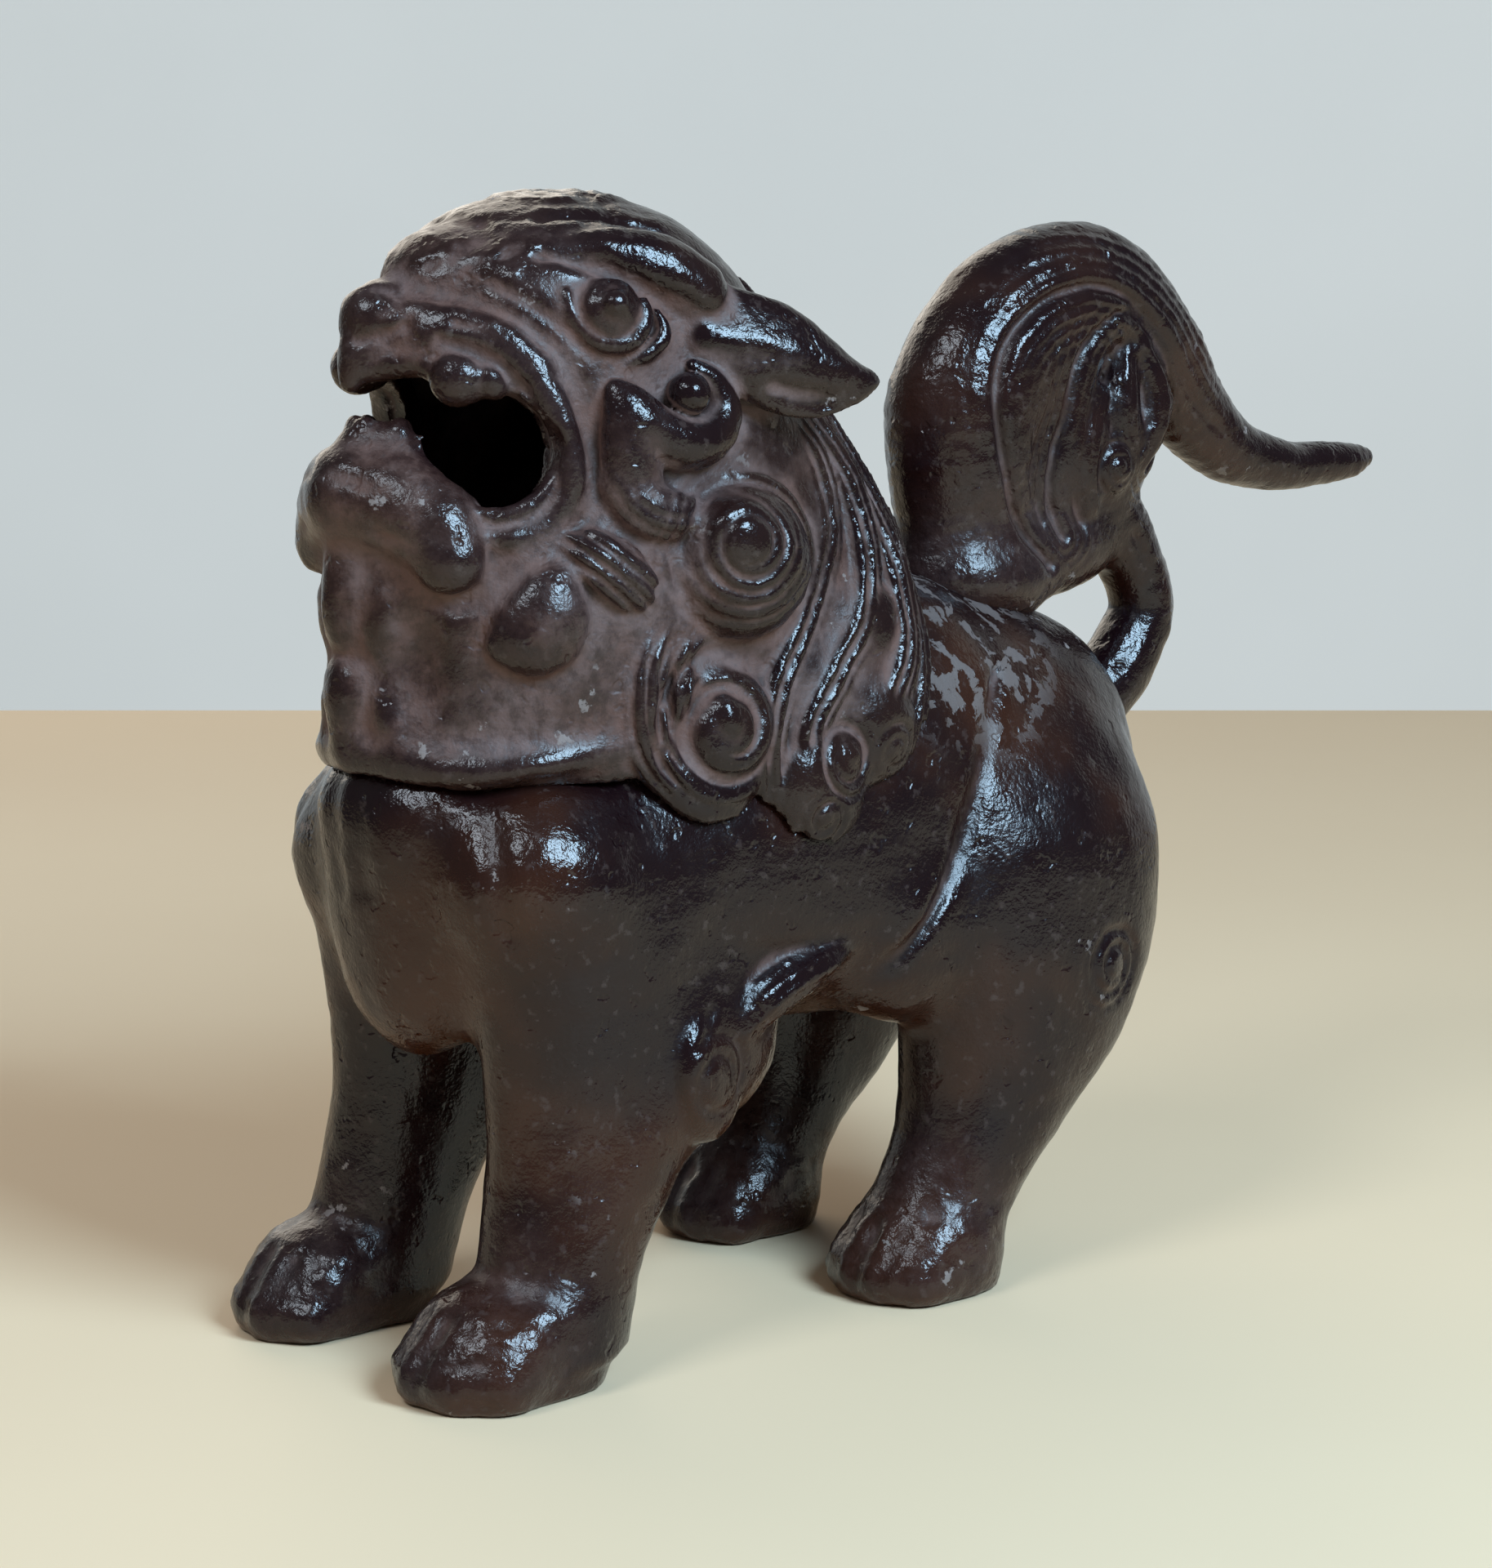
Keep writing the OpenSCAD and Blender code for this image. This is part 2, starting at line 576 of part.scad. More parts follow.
// Flame locks on the flanks of the brush
module flame_locks() {
  tail_tube([[0.7, -0.66, 0.05], [0.74, -0.7, 0.38], [0.76, -0.5, 0.68], [0.74, -0.28, 0.84],
             [0.66, -0.03, 0.76], [0.55, 0.17, 0.52]], [0.12, 0.12, 0.12, 0.12, 0.12, 0.08]);
  tail_tube([[0.8, -0.44, 0.0], [0.88, -0.48, 0.3], [0.88, -0.36, 0.54], [0.8, -0.15, 0.6],
             [0.66, 0.03, 0.42]], [0.1, 0.12, 0.12, 0.12, 0.08]);
  tail_tip([[0.78, -0.2, 0.08], [0.88, -0.26, 0.28]], [0.08, 0.12]);
  tail_tip([[0.88, -0.2, 0.38], [0.8, -0.05, 0.34]], [0.12, 0.1]);
  tail_tip([[0.6, 0.06, 0.12], [0.7, 0.0, 0.24]], [0.06, 0.12]);
  tail_tip([[0.5, -0.1, -0.02], [0.6, -0.12, 0.12]], [0.08, 0.15]);
}

module tail_form() {
  skin([for (k = [0 : brush_n]) sweep_ring(brush_rows, k / brush_n, back_h, brush_w / 2, brush_t / 2, 14)]);
  skin([for (k = [0 : leg_rings])
    sweep_ring(stem_rows, k / leg_rings, tail_z, stem_d / 2, stem_d / 2, 12)]);
  lobe(tail_at(0, -0.085, 0.3), [brush_t * 0.46, brush_w * 0.35, brush_w * 0.38], n = 12);
  lobe(tail_at(0, -0.32, 0.3), [brush_t * 0.46, brush_w * 0.37, brush_w * 0.6], n = 12);
  lobe(tail_at(0, -0.33, 0.02), [brush_t * 0.34, brush_w * 0.4, brush_w * 0.23], n = 12);
  both_sides() flame_locks();
}

pin_y = boss_y - tail_pin_d / 2 - seat_gap;
pin_over = 2;
tenon_y = pin_y - tail_pin_d - pin_over;
pin_len = tenon_d + 2 * pin_over;
tenon_end_y = rump_y - pin_over;
module tail_casting() {
  color("#33261f")
  difference() {
    union() {
      difference() {
        tail_form();
        torso(seat_gap);
      }
      translate([0, tenon_y, tail_z]) rotate([-90, 0, 0])
        cylinder(h = tenon_end_y - tenon_y, d = tenon_d, $fn = 32);
    }
    translate([0, pin_y, tail_z]) rotate([0, 90, 0])
      cylinder(h = pin_len, d = tail_pin_d + 2 * seat_gap, center = true, $fn = 24);
  }
}

module tail_pin() {
  color("#6b625c")
  translate([0, pin_y, tail_z]) rotate([0, 90, 0])
    cylinder(h = pin_len, d = tail_pin_d, center = true, $fn = 24);
}

module ash_liner() {
  r = liner_d / 2;
  color("#a8824c")
  translate([0, fire_y, hearth_z])
    rotate_extrude($fn = turned_n)
      polygon([[0, 0], [liner_foot_r, 0], [r, liner_h - liner_t], [r + liner_lip, liner_h - liner_t],
               [r + liner_lip, liner_h], [r - liner_t, liner_h], [liner_foot_r - liner_t, liner_t],
               [0, liner_t]]);
}

translate([0, -origin_y, 0]) body_casting();
translate([0, -origin_y, 0]) head_cover();
translate([0, -origin_y, 0]) tail_casting();
translate([0, -origin_y, 0]) tail_pin();
translate([0, -origin_y, 0]) ash_liner();
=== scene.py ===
"""Looks of the lion incense burner: the three iron castings are sculpted as distance fields over the CAD frame."""

import math

import bmesh
import bpy
import numpy as np
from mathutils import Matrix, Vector


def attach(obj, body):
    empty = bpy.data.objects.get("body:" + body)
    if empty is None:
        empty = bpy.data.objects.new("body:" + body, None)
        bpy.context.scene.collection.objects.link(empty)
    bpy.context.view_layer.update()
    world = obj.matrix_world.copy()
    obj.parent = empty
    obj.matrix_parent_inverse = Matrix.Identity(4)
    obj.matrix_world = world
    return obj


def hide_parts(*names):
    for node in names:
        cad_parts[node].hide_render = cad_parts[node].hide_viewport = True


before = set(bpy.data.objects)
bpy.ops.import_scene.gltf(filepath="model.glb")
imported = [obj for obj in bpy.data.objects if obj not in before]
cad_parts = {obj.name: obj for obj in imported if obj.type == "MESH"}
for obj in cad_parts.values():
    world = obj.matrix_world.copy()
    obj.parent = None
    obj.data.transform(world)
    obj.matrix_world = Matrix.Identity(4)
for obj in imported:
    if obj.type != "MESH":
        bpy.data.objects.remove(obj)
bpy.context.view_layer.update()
COARSE = 1.0

# The sculpting is done in millimetres with the middle of the stance at the origin; ORIGIN_Y leads to the CAD frame.
ORIGIN_Y = 51.0432
F32 = np.float32
FAR_OFF = 30


# Distance-field clay. A form is two corners of a box and the function of the distance to its surface.

def clamp(v):
    return np.clip(v, 0, 1)


def dot(p, n):
    return p[0] * n[0] + p[1] * n[1] + p[2] * n[2]


def crossed(axes):
    """Three lists of places as the sides of a grid."""
    return np.meshgrid(*axes, indexing="ij", sparse=True)


def smooth_min(a, b, k):
    if k <= 0:
        return np.minimum(a, b)
    h = clamp(0.5 + 0.5 * (b - a) / k)
    return b + (a - b) * h - k * h * (1 - h)


def unit(v):
    v = np.asarray(v, float)
    return v / np.linalg.norm(v)


def spline(points, values, fine):
    """Catmull-Rom points and values, fine steps to each span."""
    p = np.column_stack([points, values]).astype(float)
    q = np.vstack([2 * p[0] - p[1], p, 2 * p[-1] - p[-2]])
    rows = []
    for i in range(1, len(q) - 2):
        for t in np.arange(fine) / fine:
            a, b, c, d = q[i - 1], q[i], q[i + 1], q[i + 2]
            bend, twist = 2 * a - 5 * b + 4 * c - d, 3 * b - a - 3 * c + d
            rows.append(0.5 * (2 * b + (c - a) * t + bend * t * t + twist * t ** 3))
    rows.append(q[-2])
    rows = np.array(rows)
    return rows[:, :-1], rows[:, -1]


class Clay:
    """Distance grid over x >= 0; the other half is its mirror image."""

    def __init__(self, lo, hi, step):
        self.step = step * COARSE
        self.lo = np.array(lo, float)
        n = np.ceil((np.array(hi, float) - self.lo) / self.step).astype(int) + 1
        self.axes = [(self.lo[i] + self.step * np.arange(n[i])).astype(F32) for i in range(3)]
        self.d = np.full(n, FAR_OFF, F32)

    def window(self, lo, hi):
        """The cells between two corners, and their places."""
        a = np.maximum(0, np.floor((lo - self.lo) / self.step)).astype(int)
        b = np.minimum(self.d.shape, np.ceil((hi - self.lo) / self.step) + 1).astype(int)
        cut = tuple(map(slice, a, b))
        return cut, crossed(v[c] for v, c in zip(self.axes, cut))

    def add(self, form, k, sign=1):
        """Joins a form to the clay with a fillet of about k; a sign of -1 takes it away."""
        lo, hi, f = form
        cut, xyz = self.window(lo - (k + 3), hi + (k + 3))
        self.d[cut] = sign * smooth_min(sign * self.d[cut], f(*xyz), k)

    def cut(self, form, k):
        self.add(form, k, -1)

    def ball(self, centre, half, k, axes=None):
        self.add(ellipsoid(centre, half, axes), k)

    def roll(self, points, radii, k, *shape, fine=5):
        self.add(tube(points, radii, *shape, fine=fine), k)

    def groove(self, points, width, depth, fine=6):
        """A soft groove along a smooth line."""
        lo, hi, f = tube(points, [0.0] * len(points), fine=fine)
        cut, xyz = self.window(lo - 3 * width, hi + 3 * width)
        self.d[cut] += (depth * np.exp(-((np.maximum(f(*xyz), 0) / width) ** 2))).astype(F32)

    def relief(self, lo, hi, f):
        cut, xyz = self.window(lo, hi)
        self.d[cut] += f(*xyz).astype(F32)


def ellipsoid(centre, half, axes=None):
    c, h = np.asarray(centre, float), np.asarray(half, float)
    m = np.eye(3) if axes is None else np.array([unit(a) for a in axes])
    reach = np.sqrt((m ** 2 * (h ** 2)[:, None]).sum(0))

    def f(x, y, z):
        p = [dot((x - c[0], y - c[1], z - c[2]), row) for row in m]
        k0 = np.sqrt(sum((p[i] / h[i]) ** 2 for i in range(3)))
        k1 = np.sqrt(sum((p[i] / h[i] ** 2) ** 2 for i in range(3))) + 1e-6
        return (k0 * (k0 - 1) / k1).astype(F32)

    return c - reach, c + reach, f


def tube(points, radii, out=None, flat=1.0, pitch=0.0, depth=0.0, fine=5):
    """Roll along a smooth curve; flat thins it along out, pitch and depth cut ridges along its outer side."""
    p, r = spline(points, radii, fine)
    lo, hi = (p - r[:, None]).min(0), (p + r[:, None]).max(0)

    def f(x, y, z):
        axes = x.ravel(), y.ravel(), z.ravel()
        best = np.full([len(g) for g in axes], 1e3, F32)
        for a, b, ra, rb in zip(p[:-1], p[1:], r[:-1], r[1:]):
            ab = b - a
            m = max(ra, rb) + 4.5
            ends = np.array([np.minimum(a, b) - m, np.maximum(a, b) + m]).T
            sub = tuple(slice(*np.searchsorted(g, e)) for g, e in zip(axes, ends))
            at = crossed(g[s] - c for g, s, c in zip(axes, sub, a))
            t = clamp(dot(at, ab) / (ab @ ab))
            at = [v - t * e for v, e in zip(at, ab)]
            q, rr, extra = dot(at, at), ra + t * (rb - ra), 0
            if out is not None:
                n = np.asarray(out, float)
                n = unit(n - (n @ unit(ab)) * unit(ab))
                on = dot(at, n)
                q = q + on * on * (1 / flat ** 2 - 1)
                if pitch:
                    side = dot(at, np.cross(unit(ab), n))
                    rib = 0.5 - 0.5 * np.cos(math.tau * side / pitch + math.pi)
                    extra = depth * rib * clamp(on / rr + 0.6)
            d = np.sqrt(q) - rr + extra
            np.minimum(best[sub], d.astype(F32), out=best[sub])
        return best

    return lo, hi, f


def bore(z0, z1, r0, r1=None):
    """Upright cylinder or cone on the axis of the fire opening."""
    r1 = r0 if r1 is None else r1
    r = max(r0, r1)

    def f(x, y, z):
        s = clamp((z - z0) / (z1 - z0))
        d = np.sqrt(x ** 2 + (y - FIRE_Y) ** 2) - (r0 + s * (r1 - r0))
        return np.maximum(d, np.maximum(z0 - z, z - z1)).astype(F32)

    return np.array([-r, FIRE_Y - r, z0]), np.array([r, FIRE_Y + r, z1]), f


def rows_at(rows, k):
    """Smooth columns of a table at the places k, the same curve as in the CAD source."""
    t = np.asarray(rows, float)
    k = np.clip(np.asarray(k, float), t[0, 0], t[-1, 0])
    n = len(t)
    sides = [(t[max(0, i - 1)], t[min(n - 1, i + 1)]) for i in range(n)]
    m = np.array([(b - a) / (b[0] - a[0]) for a, b in sides])
    i = np.clip(np.searchsorted(t[:, 0], k, "right") - 1, 0, n - 2)
    h = (t[i + 1, 0] - t[i, 0])[:, None]
    u = (k - t[i, 0])[:, None] / h
    return (t[i] * (2 * u ** 3 - 3 * u ** 2 + 1) + m[i] * h * (u ** 3 - 2 * u ** 2 + u)
            + t[i + 1] * (3 * u ** 2 - 2 * u ** 3) + m[i + 1] * h * (u ** 3 - u ** 2))


def oval(q, rad, small):
    """Rough distance to an oval: q is 1 on its edge, rad the distance from its middle, small its lesser half."""
    return np.where(q > 1, rad * (1 - 1 / q), -small * (1 - q))


def upright(out):
    """Axes of a form that faces out and stands upright."""
    return out, (-out[1], out[0], 0), (0, 0, 1)


def steady(f, step):
    """The same form with its values divided by their slope, so that they are close to true distances."""

    def g(x, y, z):
        d = f(x, y, z)
        gx, gy, gz = np.gradient(d, step)
        return (d / np.clip(np.sqrt(gx * gx + gy * gy + gz * gz), 0.5, 3)).astype(F32)

    return g


# Shapes shared by the castings, with the numbers of the CAD source

BELLY, BACK = 42.0, 109.0
WALL, HEARTH = 4.0, 50.0
BREAST_Y, BODY_LEN, BODY_W = -49.5, 148.0, 62.0
SEAM = 0.6
FIRE_Y, FIRE_R = -6.2, 23.0
RING_Z0, RING_Z1 = 79.5, 104.8
RING_R0, RING_R1 = 19.5, 22.5
LEG_X, LEG_Y = 21.5, 40.5
HEAD_Z, HEAD_TALL = 85, 80
HEAD_Y, HEAD_HALF, HEAD_WIDE = -53, 45, 29
HEAD_TOP = .985
# Exponents of the ovals: breast, rump and sides of the body, face and nape of the head
BREAST_ROUND, RUMP_ROUND, SIDE_ROUND = 2.5, 2.1, 2.25
FACE_ROUND, NAPE_ROUND = 2.05, 3.0
LEAST = 0.5
# Where a lock beside the cheek faces, and how flat it is
LOCK = (0.9, -0.4, 0), 0.85

TORSO = [[0, .86, .54, .20, .86], [.20, .79, .44, .03, 1.0], [.45, .91, .33, 0, .97], [.62, 1.0, .30, -.03, .97],
         [.80, .98, .28, -.07, 1.0], [1, .94, .27, -.08, .92]]
HEAD = [[0, .08, .97, .92], [.07, .06, .99, .95], [.19, .055, 1, .97], [.31, .05, .99, .97], [.41, .07, .95, .95],
        [.51, .12, .90, .91], [.61, .15, .86, .87], [.71, .14, .81, .83], [.81, .16, .75, .78], [.89, .20, .69, .69],
        [.95, .27, .62, .53], [.985, .35, .55, .30]]
FRONT_LEG = [[0, 0, 9.5, 10.4, 12], [.2, -1, 13.6, 10.2, 12.6], [.42, -2.4, 19.2, 11, 16.2],
             [.62, -2.9, 20.6, 12, 19.2], [.84, -4.1, 17, 13, 18.8], [1, -6, 14.9, 7.9, 13.9]]
HIND_LEG = [[0, 0, -2.5, 10, 11], [.12, 0, 4, 10, 12.2], [.24, 0, 11.5, 10.8, 15], [.38, 0, 17.6, 12.6, 20.6],
            [.56, 0, 19.4, 13.6, 25.2], [.74, -1, 19.5, 13, 25.3], [.9, -4.1, 18.5, 9.1, 18.8], [1, -7.9, 17, 2.9, 9.1]]


def level(share):
    return BELLY + share * (BACK - BELLY)


def torso(grow, step):
    lo = np.array([-33.0, BREAST_Y - grow - 2, 30])
    hi = np.array([33.0 + grow, BREAST_Y + BODY_LEN + grow + 2, BACK + grow + 2])

    def f(x, y, z):
        s = (y[0, :, 0] - BREAST_Y + grow) / (BODY_LEN + 2 * grow)
        r = rows_at(TORSO, s)
        q = np.where(s < 0.5, BREAST_ROUND, RUMP_ROUND)
        e = np.maximum(1 - np.abs(2 * clamp(s) - 1) ** q, 0) ** (1 / q)
        over = (np.maximum(0 - s, s - 1) * (BODY_LEN + 2 * grow)).clip(0)
        mid = level(r[:, 2])
        wide = np.maximum(BODY_W / 2 * r[:, 4] * e + grow, LEAST)
        up = np.maximum((level(r[:, 1]) - mid) * e + grow, LEAST)
        down = np.maximum((mid - level(r[:, 3])) * e + grow, LEAST)
        mid, wide, up, down, over = (v[None, :, None].astype(F32) for v in (mid, wide, up, down, over))
        v = z - mid
        q = (np.abs(x) / wide) ** SIDE_ROUND + (np.abs(v) / np.where(v > 0, up, down)) ** SIDE_ROUND
        q = np.maximum(q, 1e-6) ** (1 / SIDE_ROUND)
        d = oval(q, np.sqrt(x * x + v * v), np.minimum(wide, np.minimum(up, down)))
        return (d + over).astype(F32)

    return lo, hi, steady(f, step)


def leg(table, y0, bottom, top, step):
    lo = np.array([-4.0, y0 - 14, bottom - 2])
    hi = np.array([40.0, y0 + 52, top + 2])

    def f(x, y, z):
        s = (z[0, 0, :] - bottom) / (top - bottom)
        r = rows_at(table, s)
        ovals = LEG_X + r[:, 1], y0 + r[:, 2], r[:, 3], r[:, 4]
        cx, cy, rx, ry = (v[None, None, :].astype(F32) for v in ovals)
        a, b = x - cx, y - cy
        q = np.sqrt((a / rx) ** 2 + (b / ry) ** 2) + 1e-6
        d = oval(q, np.sqrt(a * a + b * b), np.minimum(rx, ry))
        return np.maximum(d, np.maximum(bottom - z, z - top)).astype(F32)

    return lo, hi, steady(f, step)


def head_core(grow, step):
    lo, hi = np.array([-2.0, -54 - grow, 83]), np.array([31 + grow, 40 + grow, 166 + grow])

    def f(x, y, z):
        s = (z[0, 0, :] - HEAD_Z) / HEAD_TALL
        r = rows_at(HEAD, np.clip(s, 0, HEAD_TOP))
        shrink = np.sqrt(np.clip(1 - ((s - HEAD_TOP) / .02).clip(0) ** 2, 0.01, 1))
        mid = HEAD_Y + HEAD_HALF * (r[:, 1] + r[:, 2])
        half = np.maximum(HEAD_HALF * (r[:, 2] - r[:, 1]) * shrink + grow, LEAST)
        wide = np.maximum(HEAD_WIDE * r[:, 3] * shrink + grow, LEAST)
        mid, half, wide = (v[None, None, :].astype(F32) for v in (mid, half, wide))
        b = y - mid
        face, nape = (np.maximum((np.abs(x) / wide) ** n + (np.abs(b) / half) ** n, 1e-6) ** (1 / n)
                      for n in (FACE_ROUND, NAPE_ROUND))
        d = oval(np.where(b < 0, face, nape), np.sqrt(x * x + b * b), np.minimum(half, wide))
        return np.maximum(d, np.maximum(HEAD_Z - z, z - (164.8 + grow))).astype(F32)

    return lo, hi, steady(f, step)


def grown(form, grow):
    lo, hi, f = form
    return lo - grow, hi + grow, lambda x, y, z: f(x, y, z) - F32(grow)


def without(form, other):
    """The part of form outside of other."""
    lo, hi, f = form
    g = other[2]
    return lo, hi, lambda x, y, z: np.maximum(f(x, y, z), -g(x, y, z))


def above(form, z0):
    """The part of form above z0."""
    lo, hi, f = form
    lo = np.array([lo[0], lo[1], max(lo[2], z0)])
    return lo, hi, lambda x, y, z: np.maximum(f(x, y, z), (z0 - z).astype(F32))


SHOULDER = ellipsoid((18.6, -29.4, 71.5), (13, 14, 13))


def rings(clay, centre, out, r0, r1, pitch, depth, thick=6.0, spiral=0.0, start=0.0):
    """Concentric or spiral grooves on the outer face of a curl."""
    c, n = np.asarray(centre, float), unit(out)
    u = unit(np.cross((0, 0, 1), n))
    v = np.cross(n, u)

    def f(x, y, z):
        p = x - c[0], y - c[1], z - c[2]
        on, a, b = dot(p, n), dot(p, u), dot(p, v)
        rho = np.sqrt(a * a + b * b)
        turn = rho / pitch - spiral * np.arctan2(b, a) / math.tau - start
        mask = clamp((rho - r0) / 0.8) * clamp((r1 - rho) / 1.2) * clamp(on / thick + 1)
        return depth * mask * (0.5 - 0.5 * np.cos(math.tau * turn)) ** 1.5

    clay.relief(c - r1 - 1, c + r1 + 1, f)


def pitted(deep, floor, scales, seed, fade):
    """Relief of rough cast pits; fade scales it by the place of each point."""

    def f(x, y, z):
        x, y, z = np.broadcast_arrays(x, y, z)
        p = np.stack([v.ravel() for v in (x, y, z)], 1).astype(float)
        v = deep * clamp(wave_noise(p, scales[0], seed) - floor) + 0.10 * wave_noise(p, scales[1], seed + 2)
        return fade(v, p).reshape(x.shape)

    return f


# The castings

def sculpt_body():
    clay = Clay((0, -60, -1), (40, 104, 112), 0.7)
    h, ball, roll, groove = clay.step, clay.ball, clay.roll, clay.groove
    clay.add(torso(0, h), 0)
    clay.add(leg(HIND_LEG, LEG_Y, 3.4, 91.6, h), 1.2)
    clay.add(leg(FRONT_LEG, -LEG_Y, 5.1, 81, h), 6)
    clay.add(SHOULDER, 4)
    # Chest between the legs and the breast above it
    ball((0, -36, 62), (15, 11, 18), 6)
    # Rump below the tail
    ball((0, 71.6, 77.6), (21, 20.6, 20.6), 9)
    # Front paws
    ball((21.5, -41, 4.8), (10.8, 10, 10.6), 3)
    ball((21.3, -32, 4.8), (10.4, 9.6, 12), 4)
    for x, y, r in ((14, -47.2, 4.2), (19.2, -49.8, 4.6), (24.8, -48.4, 4.6), (29.2, -44, 4.2)):
        roll([(x, y, 3.6), (x * 0.9 + 2.1, y + 6, 9.4), (x * 0.85 + 3.2, y + 12, 12)], (r, r * 0.95, r * 0.6), 3)
    # Hind paws
    ball((21.5, 37.6, 4.6), (10.4, 10, 10), 3)
    ball((21.5, 43, 4.6), (10, 9.4, 11), 4)
    for x, y in ((14.6, 31.6), (19.2, 29.8), (24.2, 30.2), (28.6, 33.2)):
        roll([(x, y, 3.6), (x * 0.9 + 2.1, y + 6, 8.6), (x * 0.85 + 3.2, y + 11, 10.6)], (4, 3.9, 2.5), 3)
    ball((21.5, 35, 56), (9.6, 15, 14), 4)
    # Edge of the haunch against the flank, and the line on the chest beside the shoulder
    groove([(20, 54, 92), (25.5, 49, 86), (28.4, 44, 77), (29.6, 38.4, 67), (30, 31.4, 58), (29.6, 24, 51.4),
            (27, 18, 46.5)], 1.4, 1.5)
    groove([(19.5, -40.5, 84), (22, -40, 80), (24.5, -40.5, 74), (25.5, -39.5, 66)], 2, 0.8)
    groove([(3, -49, 85), (3.2, -49.5, 78), (3, -48.5, 70)], 2.2, 0.7)
    # Oval tuft with a flame tip behind the elbow
    ball((22, -5.4, 45.6), (8.5, 14.4, 14), 6)
    roll([(21.5, -8, 44), (21.3, -19.2, 30), (21.3, -26, 21), (21.3, -30, 12)], (9, 8.4, 8.2, 7.8), 5)
    face = (0.96, 0.28, 0)
    ball((29, -8.6, 41.8), (3.8, 7.4, 10), 0.8, (face, (-0.27, 0.93, 0.25), (0.07, -0.24, 0.97)))
    turn = [(math.cos(a), math.sin(a)) for a in np.radians(range(60, 350, 24))]
    groove([(32.2, -8.6 + 6.6 * c - 2.2 * s, 41.8 + 9.4 * s + 1.4 * c) for c, s in turn], 0.9, 1)
    rings(clay, (32.6, -8, 42), face, 2.4, 7.4, 3.2, 0.8, 6, 1, 0.3)
    roll([(29.2, -1.6, 48.4), (29.6, 2.8, 51.6), (29.6, 8, 53.8), (29.2, 14, 55.4), (27.6, 20, 57)],
         (2.4, 3.4, 3.2, 2.2, 0.8), 1.8, (1, 0, 0.3), 0.8, 2, 0.5)
    for a, b in (((32.8, -9.6, 45.6), (31.8, -5.4, 50.6)), ((33.2, -7, 44), (32.4, -2.6, 49)),
                 ((32.2, -11, 47), (31, -8.2, 51.6))):
        groove([a, b], 0.7, 0.8, 1)
    # Oval curl on the back of the thigh
    ball((31, 66, 48), (4, 6.2, 8.6), 0.9, upright((1, 0.4, 0)))
    rings(clay, (34.6, 67, 48), (0.93, 0.37, 0), 1.6, 7.4, 2.4, 0.9, spiral=-1)
    # Lines between the toes, and rough tops of the paws
    for x in (16.4, 22, 27.2):
        groove([(x, -56, 2), (x, -53.6, 7), (x + 0.2, -48.6, 12)], 1.2, 0.9)
        groove([(x, 24.6, 2), (x, 26.4, 7), (x + 0.2, 31, 11.4)], 1.2, 0.8)
    rough = pitted(0.3, 0.2, (6.4, 3), 47, lambda v, p: v * clamp((19 - p[:, 2]) / 7))
    clay.relief((8, -58, 2), (36, -36, 20), rough)
    clay.relief((8, 22, 2), (36, 46, 18), rough)
    # Groove round the wrist and the heel, where the paw meets the leg
    groove([(33.5, -40, 12), (28, -48, 15.5), (20, -49, 16.5), (12, -46, 14)], 1, 0.5)
    # Hollow, fire opening and the seat of the liner
    clay.cut(above(torso(-WALL, h), HEARTH), 0.4)
    clay.cut(bore(RING_Z0, BACK + 6, FIRE_R), 0.3)
    clay.cut(bore(HEARTH, HEARTH + 26, 14.3, 20), 0.2)

    # Flat soles
    def below_soles(x, y, z):
        return (z + 0 * x + 0 * y).astype(F32)

    clay.cut((np.array([-50.0, -70, -20]), np.array([50.0, 110, 0]), below_soles), 0.6)
    return clay


def on_core(x, z):
    """Point of the back half of the head's core at x and z."""
    r = rows_at(HEAD, [(z - HEAD_Z) / HEAD_TALL])[0]
    mid, half = HEAD_Y + HEAD_HALF * (r[1] + r[2]), HEAD_HALF * (r[2] - r[1])
    q = min(0.995, abs(x) / (HEAD_WIDE * r[3]))
    return (x, mid + half * (1 - q ** 3) ** (1 / 3), z)


